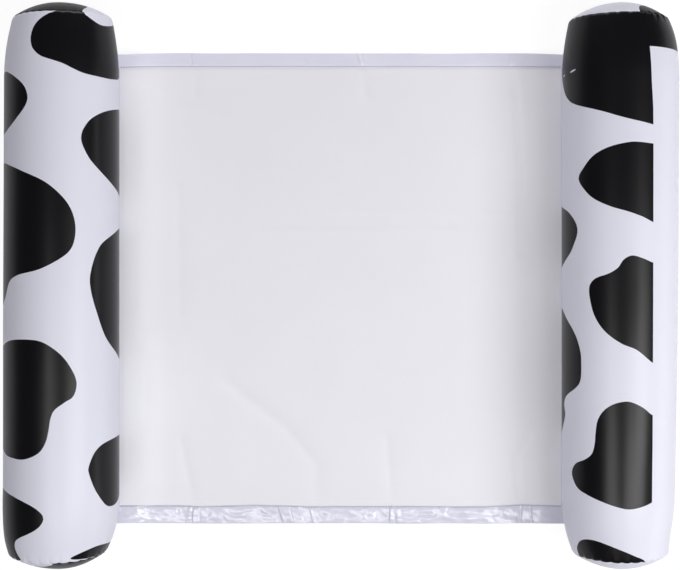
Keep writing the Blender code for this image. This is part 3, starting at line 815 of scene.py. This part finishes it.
def on_sling(across, along, lift):
    """Points in the frame. Where the sling rises, the taut sides draw its ends in a little."""
    across, along, lift = np.broadcast_arrays(across, along, lift)
    x, z, normal_x, normal_z = sling_line(across)
    drawn_in = 1 - np.where(along > 0, DRAWN_IN[1], DRAWN_IN[-1]) * (z - MIDDLE_HEIGHT)
    return np.stack([x + normal_x * lift, along * drawn_in, z + normal_z * lift], axis=-1)


print("Across from fold to fold:", round(2 * FOLD_ACROSS, 4), "m")

# %% [markdown]
# ## The mesh panel
#
# It is one sheet of fine knitted mesh. It isn't pulled tight: it keeps soft creases from the bag,
# and folds where it leaves the floor. The creases are lines on the cloth along which it stands up
# or sinks a few millimetres. A tube can fold over the sling, so the mesh stays low enough beside
# it. The sheet has its real thickness.

# %% Creases in the mesh
CREASES = [
    # across and along of each corner in metres, height (below zero for a valley), width
    ([(-0.298, 0.177), (-0.294, -0.054)], -0.0018, 0.012),
    ([(-0.292, -0.280), (-0.268, -0.402)], -0.0024, 0.010),
    ([(-0.210, -0.176), (-0.100, -0.262), (-0.045, -0.328), (-0.045, -0.402)], -0.0026, 0.016),
    ([(0.085, -0.280), (0.094, -0.402)], -0.0022, 0.010),
    ([(0.345, -0.280), (0.322, -0.316), (0.330, -0.402)], 0.0034, 0.009),
    ([(0.312, 0.398), (0.322, 0.347), (0.330, 0.225), (0.332, 0.06)], 0.0030, 0.010),
    ([(0.020, 0.134), (0.300, 0.130)], -0.0012, 0.006),
    ([(-0.150, 0.098), (0.210, 0.100)], -0.0012, 0.007),
    ([(-0.300, 0.330), (-0.190, 0.300), (-0.110, 0.345)], -0.0014, 0.016),
    ([(0.040, 0.398), (0.046, 0.345)], -0.0020, 0.008),
    ([(-0.376, 0.34), (-0.373, 0.14)], 0.0150, 0.024),
    ([(-0.378, 0.10), (-0.378, -0.06)], 0.0105, 0.022),
    ([(-0.374, -0.12), (-0.375, -0.35)], 0.0205, 0.024),
    ([(-0.262, 0.398), (-0.268, 0.350)], -0.0020, 0.009),
]


def smooth(share):
    """0 up to 0, 1 from 1 on, and a smooth rise between."""
    share = np.clip(share, 0, 1)
    return share * share * (3 - 2 * share)


def crease_lift(across, along):
    """How far the creases alone lift the mesh."""
    lift = np.zeros(across.shape)
    places = np.stack([across.ravel(), along.ravel()], axis=1)
    for corners, height, width in CREASES:
        nearest = np.full(len(places), 1.0)
        for start, end in zip(np.array(corners), np.array(corners[1:])):
            offset = from_segment(places, start, end)
            nearest = np.minimum(nearest, np.linalg.norm(offset, axis=1))
        lift += (height / (1 + (nearest / width) ** 2) ** 1.5).reshape(across.shape)
    return lift


fold_x, fold_z = (float(value) for value in sling_line(FOLD_ACROSS)[:2])
FOLDED_X, FOLDED_Z = fold_x - (TUBE_Z - fold_z), fold_z + (TUBE_X - fold_x)
FOLDED_GAP, HELD_REACH, TAPE_REACH = 0.0020, 0.040, 0.012
LOOSE, SOFT_RIPPLE, FINE_RIPPLE = 0.0026, 0.0008, 0.00035


def room_under_folded_tube(across):
    """How high the mesh may stand without touching a tube that is folded over the sling."""
    x, z, _, _ = sling_line(across)
    return np.hypot(np.abs(x) - FOLDED_X, z - FOLDED_Z) - TUBE_RADIUS - FOLDED_GAP


def mesh_lift(across, along):
    """How far the mesh stands over where it would lie flat."""
    soft = LOOSE + SOFT_RIPPLE * ripples(across + 1, along + 1, 0.16, 0.21, 3)
    fine = FINE_RIPPLE * (1 + ripples(across + 1, along + 1, 0.047, 0.061, 4))
    front = (along - SLING_FRONT - hem_width(-1, across)) / HELD_REACH
    back = (SLING_BACK - HEM_WIDTHS[1] - along) / HELD_REACH
    aside = (FOLD_ACROSS - TAPE_WIDTH - np.abs(across)) / TAPE_REACH
    held = np.clip(np.minimum(np.minimum(front, back), aside), 0, 1) ** 0.7
    free = np.clip(soft + fine + crease_lift(across, along), 0, 1) * held
    return free / (1 + (free / room_under_folded_tube(across)) ** 4) ** 0.25


# %% Weave the panel's two faces
def slab(name, across, along, top, bottom):
    """A closed sheet between two faces, over a grid of places on the sling."""
    rows, columns = across.shape
    faces = grid_faces(rows, columns)
    count = rows * columns
    faces += [[count + corner for corner in reversed(face)] for face in faces]
    number = np.arange(count).reshape(rows, columns)
    rim = [number[0, :-1], number[:-1, -1], number[-1, :0:-1], number[:0:-1, 0]]
    rim = np.concatenate(rim).tolist()
    faces += [[a, b, b + count, a + count] for a, b in zip(rim, [*rim[1:], rim[0]])]
    sides = [on_sling(across, along, height).reshape(-1, 3) for height in (top, bottom)]
    return piece_from(name, np.vstack(sides), faces)


panel_half, panel_margin = FOLD_ACROSS - 0.0009, 0.0007
across, along = np.meshgrid(
    np.linspace(-panel_half, panel_half, 171),
    np.linspace(SLING_FRONT + panel_margin, SLING_BACK - panel_margin, 176),
)
lift = mesh_lift(across, along)
top, bottom = lift + MESH_THICKNESS / 2, lift - MESH_THICKNESS / 2
panel = slab("knitted_mesh_panel", across, along, top, bottom)
cloth = np.stack([across.ravel(), along.ravel(), np.zeros(across.size)], axis=1)
store(panel, "cloth", np.vstack([cloth, cloth]), "FLOAT_VECTOR")
report(panel)

# %% [markdown]
# ## Knitted mesh
#
# The threads run in slanting lines that cross, and leave a small hole in each diamond. The holes
# are not see-through: they are painted grey, a painted shade for the shaded floor under the mesh.
# From the camera's distance they only dull the white a little. Up close the bump shows each thread.

# %% Material of the mesh
MESH_PITCH = 0.0017


def knitted_mesh():
    finish = Finish("knitted_mesh", Specular_IOR_Level=0.25, Sheen_Weight=0.15, Sheen_Roughness=0.5)
    cloth = finish.attribute("cloth", "Vector")
    parts = finish.node("ShaderNodeSeparateXYZ", None, {0: cloth})
    across, along = parts.out("X"), parts.out("Y")
    first = abs(((across + along) * (math.pi / MESH_PITCH)).sine())
    second = abs(((across - along) * (math.pi / MESH_PITCH)).sine())
    hole = (first * second).step(0.35, 0.75)
    cloudy = finish.noise(cloth, 7.0, 3.0)
    yarn = finish.mixed(cloudy, (0.895, 0.893, 0.925, 1), (0.92, 0.918, 0.945, 1))
    # Painted shade: the holes are grey, standing for the shaded floor under the mesh.
    painted_shade_in_holes = finish.mixed(cloudy, (0.72, 0.72, 0.76, 1), (0.76, 0.76, 0.80, 1))
    fuzz = finish.noise(cloth, 2500.0, 1.0)
    height = (1 - first * second) * 0.00022 + fuzz * 0.00004
    colour = finish.mixed(hole * 0.5, yarn, painted_shade_in_holes)
    return finish.wear(colour, 0.72 + 0.1 * hole, height, strength=0.7)


panel.data.materials.append(knitted_mesh())
print("Mesh pitch:", MESH_PITCH)

# %% [markdown]
# ## The folded hems
#
# Each end of the mesh is bound by a strip of glossy film, folded over the edge and sewn. The film
# is stiff enough to keep sharp creases across it and many small dents. A hem is a loop: its
# outer face runs over the top, round the fold and back underneath, and its inner face follows
# one film thickness inside.

# %% Relief of the hems
HEM_CREASES = {
    # across in metres, slant, height, width
    -1: [(-0.278, 0.15, 0.0012, 0.0030), (-0.108, -0.35, 0.0028, 0.0030),
         (-0.120, -0.10, 0.0012, 0.0040), (-0.052, -0.25, 0.0022, 0.0026),
         (0.105, 0.02, 0.0012, 0.0050), (0.325, 0.03, 0.0014, 0.0028)],
    1: [(-0.263, 0.12, 0.0020, 0.0026), (-0.270, 0.04, 0.0008, 0.0040),
        (0.036, 0.30, 0.0020, 0.0022), (0.045, 0.20, 0.0012, 0.0022),
        (0.311, -0.05, 0.0016, 0.0030), (-0.060, 0.9, 0.0008, 0.0030)],
}
# across, half width and slant of each flat pleat, how far it stands up, and its fall to the right
HEM_PLEATS = {
    -1: [(-0.265, 0.0050, 0.03, 0.0022, 0.0), (0.0945, 0.0036, 0.0, 0.0024, 0.12),
         (-0.0800, 0.0080, -0.30, 0.0012, -0.03), (0.3400, 0.0072, 0.0, 0.0020, 0.04)],
    1: [(-0.268, 0.0030, 0.10, 0.0012, 0.0)],
}
PLEAT_EDGE, TUCK_AWAY, TUCK_WIDTH, TUCK_DEPTH = 0.0018, 0.0022, 0.0012, 0.0016
HEM_PUFF, DENT_HEIGHT, HEM_DENTED = 0.0006, 0.00165, {-1: 1.0, 1: 0.30}
SEWN_FROM_EDGE, SEWN_WIDTH, STITCH = 0.0017, 0.0020, 0.0051
HEM_GAP, HEM_END, HEM_STATIONS = 0.0003, 0.0004, 640


def hem_top(end, across, inwards):
    """How far a hem's upper film stands over the mesh, this far inwards from the fold."""
    width = HEM_WIDTHS[end]
    share = np.clip(inwards / width, 0, 1)
    pillow = np.sin(math.pi * np.clip(share * 0.93, 0, 1)) ** 0.6
    dents = np.abs(ripples(across + 0.5 * inwards + 1, inwards + 1, 0.019, 0.016, 7))
    finer = np.abs(ripples(across - 0.4 * inwards + 1, inwards + 1, 0.0085, 0.010, 8))
    dents = 1.2 * dents + 0.2 * finer
    long_dents = ripples(across + 1 + inwards, inwards + 1, 0.045, 0.02, 9)
    lift = HEM_PUFF * pillow * (1 + 0.6 * long_dents)
    lift = lift + HEM_DENTED[end] * DENT_HEIGHT * pillow * dents
    for place_across, slant, height, size in HEM_CREASES[end]:
        aside = across - place_across - slant * (inwards - width / 2)
        lift = lift + height * (0.35 + 0.65 * pillow) / (1 + (aside / size) ** 2) ** 1.5
    for middle, half, slant, height, fall in HEM_PLEATS[end]:
        aside = across - middle - slant * (inwards - width / 2)
        from_pleat = np.abs(aside) - half * (1.2 - 0.4 * share)
        flat = 1 - smooth(from_pleat / PLEAT_EDGE)
        lift = lift * (1 - 0.85 * flat) + (height - fall * aside) * flat * (0.4 + 0.6 * pillow)
        tucked = np.exp(-(((from_pleat - TUCK_AWAY) / TUCK_WIDTH) ** 2))
        lift = np.maximum(lift - TUCK_DEPTH * tucked, -0.0002 * tucked)
    sewn = np.exp(-(((inwards - width + SEWN_FROM_EDGE) / SEWN_WIDTH) ** 2))
    return lift * (1 - 0.75 * sewn) + 0.00014 * sewn * np.cos(2 * math.pi * across / STITCH)


def hem_along(end, across, inwards):
    """Where along the tubes a place on a hem lies. The fold wavers a little."""
    fold, width = SLING_BACK if end > 0 else SLING_FRONT, HEM_WIDTHS[end]
    waver = 0.0006 * ripples(across + 1, np.zeros_like(across), 0.07, 1.0, 11 + end)
    return fold - end * (inwards * hem_width(end, across) / width + waver * (1 - inwards / width))


# %% Fold the hems
def folded_loop(width, top_points=26, bottom_points=6):
    """Outer points from the open edge round the fold: (inwards, height, share of the relief)."""
    radius = MESH_THICKNESS / 2 + HEM_GAP + HEM_FILM
    flat, top, bottom = width - radius, top_points - 1, bottom_points - 1
    loop = [(width - flat * k / top, radius, 1.0) for k in range(top_points)]
    for k in range(1, 6):
        angle = math.pi / 2 - math.pi * k / 6
        up = math.sin(angle)
        loop.append((radius - radius * math.cos(angle), radius * up, 0.5 + 0.5 * up))
    loop += [(radius + flat * k / bottom, -radius, 0.0) for k in range(bottom_points)]
    return np.array(loop)


def folded_film(name, loop, stations, place):
    """A film folded round an edge. place(station, inwards, height, share) gives its points."""
    inner = np.column_stack([beside(loop[:, :2], -HEM_FILM), loop[:, 2]])
    both = np.vstack([loop, inner[::-1]])
    station, inwards = np.meshgrid(stations, both[:, 0])
    height, share = np.meshgrid(stations, both[:, 1])[1], np.meshgrid(stations, both[:, 2])[1]
    points = place(station, inwards, height, share)
    rows, columns = station.shape
    faces = grid_faces(rows, columns, closed_rows=True)
    for column in (0, columns - 1):
        for k in range(len(loop) - 1):
            mates = (k, k + 1, rows - 2 - k, rows - 1 - k)
            faces.append([mate * columns + column for mate in mates])
    return piece_from(name, points, faces)


def hem(end, name):
    """The film that binds the mesh's front edge (-1) or back edge (1)."""

    def place(across, inwards, height, share):
        along = hem_along(end, across, inwards)
        return on_sling(across, along, height + share * hem_top(end, across, inwards))

    half = FOLD_ACROSS - HEM_END
    stations = np.linspace(-half, half, HEM_STATIONS)
    return folded_film(name, folded_loop(HEM_WIDTHS[end]), stations, place)


hems = {end: hem(end, "folded_hem_" + END_NAMES[end]) for end in (-1, 1)}
for piece in hems.values():
    report(piece)

# %% [markdown]
# ## Side tapes
#
# Between the hems each side of the mesh is bound by a narrow folded film in the same way. It lies
# under the overhang of the tube, next to the line on which the tube folds.

# %% Fold the side tapes
TAPE_GAP, TAPE_PULL, TAPE_STITCH = 0.0002, 0.0001, 0.004
TAPE_END, TAPE_STATIONS = 0.0006, 500


def tape_ends(gap):
    """Where a tape starts and stops between the hems, with a gap to each."""
    return SLING_FRONT + HEM_WIDTHS[-1] + gap, SLING_BACK - HEM_WIDTHS[1] - gap


def side_tape(side, name):
    """The film that binds the mesh's side edge. Its stitches pull it down a little."""

    def place(along, inwards, height, share):
        across = FOLD_ACROSS - TAPE_GAP - inwards
        relief = share * TAPE_PULL * np.cos(2 * math.pi * along / TAPE_STITCH)
        return on_sling(side * across, along, height + relief)

    stations = np.linspace(*tape_ends(TAPE_END), TAPE_STATIONS)
    return folded_film(name, folded_loop(TAPE_WIDTH, 8, 4), stations, place)


tapes = {side: side_tape(side, "bound_edge_" + tube) for side, tube in SIDE_NAMES.items()}
for piece in tapes.values():
    report(piece)

# %% [markdown]
# ## Glossy film
#
# The hems, the side tapes and the tabs are of plain film without a print. The hems shine more than
# the tubes, because the film is smoother, and many small dents catch the light. The front hem is
# the glossier one and has the deeper dents.

# %% Material of the plain film
def plain_film(name, roughness, dents, tone=1.0):
    finish = Finish(name, Specular_IOR_Level=0.75, IOR=1.5)
    where = finish.place()
    cloudy = finish.noise(where, 14.0, 3.0)
    shades = ((0.71, 0.71, 0.83), (0.80, 0.80, 0.90))
    darker, paler = ((*(tone * part for part in shade), 1) for shade in shades)
    colour = finish.mixed(cloudy, darker, paler)
    crumple = finish.noise(finish.vectors("MULTIPLY", where, (1.0, 1.7, 1.0)), 36.0, 1.0)
    height = crumple * dents + finish.noise(where, 700.0, 1.0) * 0.00001
    return finish.wear(colour, roughness + 0.12 * cloudy, height)


hems[-1].data.materials.append(plain_film("glossy_hem_film", 0.19, dents=0.0031, tone=0.94))
hems[1].data.materials.append(plain_film("satin_hem_film", 0.30, dents=0.0009, tone=1.06))
tape_film = plain_film("binding_film", 0.34, dents=0.0003)
for piece in tapes.values():
    piece.data.materials.append(tape_film)
print("Films without a print:", len(hems) + 1)

# %% [markdown]
# ## Sewing
#
# The stitches repeat along a line, which is work for Geometry Nodes. The tree takes a line, cuts it
# into steps of one stitch, and sets a small thread on each step, turned a little to one side and
# the other in turn. Each thread has only a few dozen faces, because there are many.

# %% A tree that sews along a line
def sewing_tree():
    group = bpy.data.node_groups.new("sewn_row", "GeometryNodeTree")
    made = group.interface.new_socket
    made(name="Line", in_out="INPUT", socket_type="NodeSocketGeometry")
    for name in ("Pitch", "Thread length", "Thread radius", "Slant"):
        made(name=name, in_out="INPUT", socket_type="NodeSocketFloat")
    made(name="Seed", in_out="INPUT", socket_type="NodeSocketInt").default_value = 3
    made(name="Thread", in_out="INPUT", socket_type="NodeSocketMaterial")
    made(name="Stitches", in_out="OUTPUT", socket_type="NodeSocketGeometry")
    node = Nodes(group).node
    given = node("NodeGroupInput")
    curve = node("GeometryNodeMeshToCurve", None, {"Mesh": given.out("Line")})
    spaced = {"Curve": curve, "Length": given.out("Pitch")}
    steps = node("GeometryNodeResampleCurve", {"mode": "LENGTH"}, spaced)
    ball = node("GeometryNodeMeshUVSphere", None, {"Segments": 6, "Rings": 5, "Radius": 1.0})
    half, radius = given.out("Thread length") * 0.5, given.out("Thread radius")
    size = node("ShaderNodeCombineXYZ", None, {"X": half, "Y": radius, "Z": radius})
    thread = node("GeometryNodeTransform", None, {"Geometry": ball, "Scale": size})
    tangent = node("GeometryNodeInputTangent")
    facing = node("FunctionNodeAlignRotationToVector", {"axis": "X"}, {"Vector": tangent})
    to_and_fro = node("GeometryNodeInputIndex") % 2.0 * 2.0 - 1.0
    limits = {2: -0.06, 3: 0.06, "Seed": given.out("Seed")}
    loose = node("FunctionNodeRandomValue", {"data_type": "FLOAT"}, limits, 1)
    spin = node("ShaderNodeCombineXYZ", None, {"Z": to_and_fro * given.out("Slant") + loose})
    twist = node("FunctionNodeEulerToRotation", None, {0: spin})
    turned = node("FunctionNodeRotateRotation", {"rotation_space": "LOCAL"}, {0: facing, 1: twist})
    places = {"Points": steps, "Instance": thread, "Rotation": turned}
    row = node("GeometryNodeInstanceOnPoints", None, places)
    real = node("GeometryNodeRealizeInstances", None, {"Geometry": row})
    dyed = {"Geometry": real, "Material": given.out("Thread")}
    done = node("GeometryNodeSetMaterial", None, dyed)
    node("NodeGroupOutput", None, {"Stitches": done})
    return group


SEWING = sewing_tree()
print("Sewing tree:", len(SEWING.nodes), "nodes")

# %% [markdown]
# Thread is fine spun polyester: dull, with a twist that shows as slanting grooves. The grooves
# are also coloured darker than the ridges, a painted shade.

# %% Material of the thread
THREAD_TWIST = 0.00045


def sewing_thread():
    finish = Finish("sewing_thread", Specular_IOR_Level=0.3, Sheen_Weight=0.2, Sheen_Roughness=0.4)
    where = finish.place()
    parts = finish.node("ShaderNodeSeparateXYZ", None, {0: where})
    twist = abs(((parts.out("X") + parts.out("Y")) * (math.pi / THREAD_TWIST)).sine())
    # Painted shade: the twist's grooves are coloured darker than its ridges.
    colour = finish.mixed(twist, (0.05, 0.05, 0.08, 1), (0.11, 0.11, 0.15, 1))
    return finish.wear(colour, 0.6 + 0.15 * twist, twist * 0.00006)


THREAD = sewing_thread()


def sewn_rows(name, lines, values):
    """Stitches along several lines of points, as one plain mesh."""
    data = bpy.data.meshes.new(name)
    edges, count = [], 0
    for line in lines:
        edges += [(count + k, count + k + 1) for k in range(len(line) - 1)]
        count += len(line)
    data.from_pydata(np.vstack(lines).tolist(), edges, [])
    row = placed(name, data)
    modifier = row.modifiers.new("sewing", "NODES")
    modifier.node_group = SEWING
    for item in SEWING.interface.items_tree:
        if item.in_out == "INPUT" and item.name in values:
            modifier[item.identifier] = values[item.name]
    return made_plain(row)


# %% Sew the hems and the tapes
SEWN = {"Pitch": STITCH, "Thread length": 0.0029, "Thread radius": 0.00082, "Slant": 0.40}
SEAM_END, FILM_TOP, THREAD_OVER = 0.009, 0.0010, 0.00012
TAPE_SEWN, TAPE_SEAM_END, TAPE_SEAM_TOP = 0.0040, 0.003, 0.0011


def hem_line(end):
    """The line of a hem's seam, on top of the film."""
    across = np.linspace(-FOLD_ACROSS + SEAM_END, FOLD_ACROSS - SEAM_END, 900)
    inwards = np.full(across.shape, HEM_WIDTHS[end] - SEWN_FROM_EDGE)
    height = FILM_TOP + hem_top(end, across, inwards) + THREAD_OVER
    return on_sling(across, hem_along(end, across, inwards), height)


def tape_line(side):
    """The line of a side tape's seam."""
    across = side * (FOLD_ACROSS - TAPE_GAP - TAPE_SEWN)
    return on_sling(across, np.linspace(*tape_ends(TAPE_SEAM_END), 300), TAPE_SEAM_TOP)


seams = [hem_line(-1), hem_line(1), tape_line(1), tape_line(-1)]
stitches = sewn_rows("stitches", seams, {**SEWN, "Thread": THREAD})
report(stitches)

# %% [markdown]
# ## The welded tabs
#
# A strip of film with a T section joins each tube to the sling. Its foot is welded along the tube
# and its fin reaches to the fold line. The weld leaves a ribbed track on the foot, and the foot's
# ends are cut round.

# %% Shape the tabs
TAB_LENGTH, HALF_FOOT, FIN_REACH, ROUND_END = 0.744, 0.009, 0.1048, 0.006
TAB_GAP, TAB_TOP, RIB_PITCH, RIB_HEIGHT = 0.0003, 0.0009, 0.0024, 0.00012


def welded_tab(side, name):
    """A T section in shares of the foot's half width and radii of the tube, drawn along it."""
    base, top = TUBE_RADIUS + TAB_GAP, TUBE_RADIUS + TAB_TOP
    half = [(1.0, base + 0.0003), (0.93, top), (0.6, top), (0.3, top), (0.10, top)]
    half += [(0.045, top + 0.0004), (0.022, top + 0.002), (0.014, FIN_REACH)]
    section = [(share, base) for share in (-1.0, -0.5, 0.0, 0.5, 1.0)]
    section += half + [(-share, radius) for share, radius in reversed(half)]
    shares, radii = np.array(section).T
    along = np.linspace(-TAB_LENGTH / 2, TAB_LENGTH / 2, 250)
    from_end = TAB_LENGTH / 2 - np.abs(along)
    narrow = np.sqrt(np.clip(1 - (1 - np.clip(from_end / ROUND_END, 0, 1)) ** 2, 0.10, 1))
    foot = np.abs(shares) > 0.06
    share_grid = shares[None, :] * np.where(foot[None, :], narrow[:, None], 1.0)
    ribbed = (np.abs(shares) > 0.25) & (radii >= top)
    ribs = RIB_HEIGHT * np.cos(2 * math.pi * along / RIB_PITCH)[:, None] * ribbed[None, :]
    turn = TAB_TURN + share_grid * HALF_FOOT / TUBE_RADIUS
    points = on_tube(side, turn, along[:, None], radii[None, :] + ribs)
    rows, columns = points.shape[:2]
    faces = grid_faces(rows, columns, closed_columns=True)
    faces += [list(range(columns)), [(rows - 1) * columns + k for k in reversed(range(columns))]]
    return piece_from(name, points, faces)


tabs = {side: welded_tab(side, "welded_tab_" + tube) for side, tube in SIDE_NAMES.items()}
tab_film = plain_film("tab_film", 0.32, dents=0.0002)
for piece in tabs.values():
    piece.data.materials.append(tab_film)
    report(piece)

# %% [markdown]
# ## The valves
#
# A valve is a soft clear moulding: a stem with a round collar, and a cap on a short tether. The
# profile of each is drawn once and turned round the valve's own axis, with every edge rounded,
# because a moulding has no sharp edge. The flange and the flap inside the tube stay as the CAD
# model has them.

# %% Turn the valve's mouldings
EDGE_RADIUS = 0.00045
STEM = [(0.0015, 0.0040), (0.0015, 0.0085), (0.0, 0.0085), (0.0, 0.0055), (-0.014237, 0.0055),
        (-0.014237, 0.0070), (-0.015237, 0.0070), (-0.015237, 0.0040)]
CAP = [(0.00305, 0), (0.00335, 0.0038), (0.00335, 0.0046), (0.00305, 0.0065), (0.00165, 0.0065),
       (0.00165, 0.0037), (-0.00135, 0.0031), (-0.00135, 0)]
# centre and size of the tether's foot on the stem, and of the tether itself on the cap
TETHER_FOOT = ((0, 0.0088, 0.00075), (0.004, 0.0053, 0.0013))
TETHER = ((0, 0.0074, 0.00235), (0.004, 0.0082, 0.0010))


def rounded(profile, radius, steps=3):
    """A profile with its corners cut into small arcs, but not those on the axis."""
    line = []
    points = [np.array(point, float) for point in profile]
    for k, point in enumerate(points):
        before, after = points[k - 1], points[(k + 1) % len(points)]
        if point[1] == 0:
            line.append(point)
            continue
        back, ahead = before - point, after - point
        cut = min(radius, 0.45 * np.linalg.norm(back), 0.45 * np.linalg.norm(ahead))
        start = point + back / np.linalg.norm(back) * cut
        end = point + ahead / np.linalg.norm(ahead) * cut
        for t in np.linspace(0, 1, steps + 1):
            line.append(start * (1 - t) ** 2 + 2 * point * t * (1 - t) + end * t**2)
    return np.array(line)


def moulding(name, axes, profile, block, sides=48):
    """A turned profile of (out, radius) and a rounded block of (centre, size), in one mesh."""
    shape = bmesh.new()
    rings = []
    for out, radius in rounded(profile, EDGE_RADIUS):
        turns = [2 * math.pi * k / sides for k in range(sides if radius else 1)]
        places = [(radius * math.cos(turn), radius * math.sin(turn), out) for turn in turns]
        rings.append([shape.verts.new(place) for place in places])
    if all(point[1] > 0 for point in profile):
        rings.append(rings[0])
    for here, there in zip(rings, rings[1:]):
        for k in range(sides):
            corners = [here[k % len(here)], here[(k + 1) % len(here)]]
            corners += [there[(k + 1) % len(there)], there[k % len(there)]]
            shape.faces.new(list(dict.fromkeys(corners)))
    centre, size = block
    made = bmesh.ops.create_cube(shape, size=1.0)["verts"]
    bmesh.ops.scale(shape, vec=size, verts=made)
    bmesh.ops.translate(shape, vec=centre, verts=made)
    edges = list({edge for vert in made for edge in vert.link_edges})
    width = min(size) * 0.3
    bmesh.ops.bevel(shape, geom=edges, offset=width, segments=2, affect="EDGES", profile=0.5)
    bmesh.ops.recalc_face_normals(shape, faces=shape.faces)
    bmesh.ops.transform(shape, matrix=axes, verts=shape.verts)
    data = mesh_from(name, shape)
    data.shade_smooth()
    return placed(name, data)


stems, caps = {}, {}
for side, tube in SIDE_NAMES.items():
    axes = valve_frame(side)
    stems[side] = moulding("moulded_stem_" + tube, axes, STEM, TETHER_FOOT)
    caps[side] = moulding("moulded_cap_" + tube, axes, CAP, TETHER)
    report(stems[side])
    report(caps[side])

# %% [markdown]
# Clear soft plastic looks pale and a little milky. It lets some light through, but here its inside
# isn't seen, so a bright, smooth, slightly cloudy surface stands for it.

# %% Material of the valves
def clear_moulding():
    finish = Finish("clear_moulding", Specular_IOR_Level=0.6, IOR=1.5, Transmission_Weight=0.35)
    where = finish.place()
    cloudy = finish.noise(where, 160.0, 3.0)
    colour = finish.mixed(cloudy, (0.72, 0.75, 0.82, 1), (0.84, 0.86, 0.90, 1))
    speckle = finish.noise(where, 1400.0, 1.0)
    return finish.wear(colour, 0.16 + 0.14 * cloudy, speckle * 0.00002)


CLEAR = clear_moulding()
for piece in (*stems.values(), *caps.values()):
    piece.data.materials.append(CLEAR)
for name in ("valve_flange_left", "valve_flange_right", "valve_flap_left", "valve_flap_right"):
    nodes[name].data.materials.clear()
    nodes[name].data.materials.append(CLEAR)
print("Valve pieces:", len(stems) + len(caps) + 4)

# %% [markdown]
# ## What moves with what
#
# Each piece rides on a body of the CAD model and stands for its CAD node, which is then not
# shown. The stitches stand for no node. The width that the mesh is cut to is printed.

# %% Ride and replace
for side, tube in SIDE_NAMES.items():
    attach(walls[side], "tube_" + tube)
    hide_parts("tube_wall_" + tube)
    for end, end_name in END_NAMES.items():
        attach(discs[side, end], "tube_" + tube)
        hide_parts(f"end_disc_{tube}_{end_name}")
    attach(tabs[side], "tube_" + tube)
    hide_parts("tube_tab_" + tube)
    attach(tapes[side], "sling")
    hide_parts("side_tape_" + tube)
    for moulded, part in ((stems[side], "stem_"), (caps[side], "cap_")):
        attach(moulded, part + tube)
        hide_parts("valve_" + part + tube)
for end, end_name in END_NAMES.items():
    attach(hems[end], "sling")
    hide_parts("hem_" + end_name)
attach(stitches, "sling")
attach(panel, "sling")
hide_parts("mesh_panel")
print("The mesh is cut", round(2 * panel_half, 3), "m wide")

# %% [markdown]
# ## Floor and light
#
# The floor is plain pale paper. Where the camera sees it directly it also glows a little, so the
# background is white while the object's soft shadow stays. Two broad soft lamps hang over the
# front of the hammock and one over its right side: they give the long soft lights on the tubes,
# and make the right sides brighter. Two long low lamps, at the back and on the right, light the
# domed ends and the tube's side. A faint lavender sky fills the shadows.

# %% Floor
FLOOR_HALF, FLOOR_LOW = 40.0, 0.0008
FLOOR_SEEN, FLOOR_GLINT, FLOOR_GLOW = 0.80, 0.15, 1.12
floor_shape = bmesh.new()
bmesh.ops.create_grid(floor_shape, x_segments=8, y_segments=8, size=FLOOR_HALF)
bmesh.ops.translate(floor_shape, vec=(0, 0, -FLOOR_LOW), verts=floor_shape.verts)
floor = placed("studio_floor", mesh_from("studio_floor", floor_shape))
paper = Finish("pale_paper", Specular_IOR_Level=0.0, Roughness=0.9)
speckle = paper.noise(paper.place(), 40.0)
paper.wear(paper.mixed(speckle, (0.80, 0.80, 0.82, 1), (0.83, 0.83, 0.85, 1)))
straight, rays = paper.seen_straight()
share = (FLOOR_SEEN * straight).highest(FLOOR_GLINT * rays.out("Is Glossy Ray"))
glow = paper.node("ShaderNodeEmission", None, {"Color": (1, 1, 1, 1), "Strength": FLOOR_GLOW})
lit = Wire(paper, paper.shader.outputs["BSDF"])
surface = paper.node("ShaderNodeMixShader", None, {0: share, 1: lit, 2: glow})
paper.tree.links.new(surface.socket, paper.tree.nodes["Material Output"].inputs["Surface"])
floor.data.materials.append(paper.material)

# %% Lamps
for name, place_at, aim, width, depth, power in (
    ("front_right_lamp", (1.2, -1.1, 3.1), (0, 0, 0.1), 1.2, 1.2, 33.0),
    ("front_left_lamp", (-0.85, -1.15, 3.15), (0, 0, 0.1), 1.8, 1.2, 39.0),
    ("right_lamp", (2.2, -0.6, 2.6), (0.2, 0, 0.1), 1.2, 1.2, 36.3),
    ("low_back_lamp", (0.0, 2.8, 0.5), (0, 0.4, 0.1), 2.6, 0.6, 33.5),
    ("low_right_lamp", (2.8, -0.4, 0.35), (0.4, 0, 0.1), 2.6, 0.5, 15.0),
):
    lamp_data = bpy.data.lights.new(name, "AREA")
    lamp_data.shape, lamp_data.size, lamp_data.size_y = "RECTANGLE", width, depth
    lamp_data.energy = power
    lamp = placed(name, lamp_data)
    lamp.location = place_at
    lamp.rotation_euler = (Vector(aim) - Vector(place_at)).to_track_quat("-Z", "Y").to_euler()
print("Lamps:", len(bpy.data.lights))

# %% [markdown]
# From a low angle the camera looks past the floor's edge. There it sees the same white as on the
# floor, while the light that the sky sheds on the object stays faint.

# %% Sky
SKY_GLINT, SKY_FAINT, SKY_WHITE = 0.02, 0.10, 0.92
world = bpy.data.worlds.new("studio_sky")
bpy.context.scene.world = world
world.use_nodes = True
world.node_tree.nodes.clear()
sky = Nodes(world.node_tree)
straight, rays = sky.seen_straight()
share = straight.highest(SKY_GLINT * rays.out("Is Glossy Ray"))
lavender, plain = (0.89, 0.81, 1.0, 1), (1, 1, 1, 1)
faint = sky.node("ShaderNodeBackground", None, {"Color": lavender, "Strength": SKY_FAINT})
white = sky.node("ShaderNodeBackground", None, {"Color": plain, "Strength": SKY_WHITE})
both = sky.node("ShaderNodeMixShader", None, {0: share, 1: faint, 2: white})
sky.node("ShaderNodeOutputWorld", None, {"Surface": both})
print("Sky nodes:", len(sky.tree.nodes))
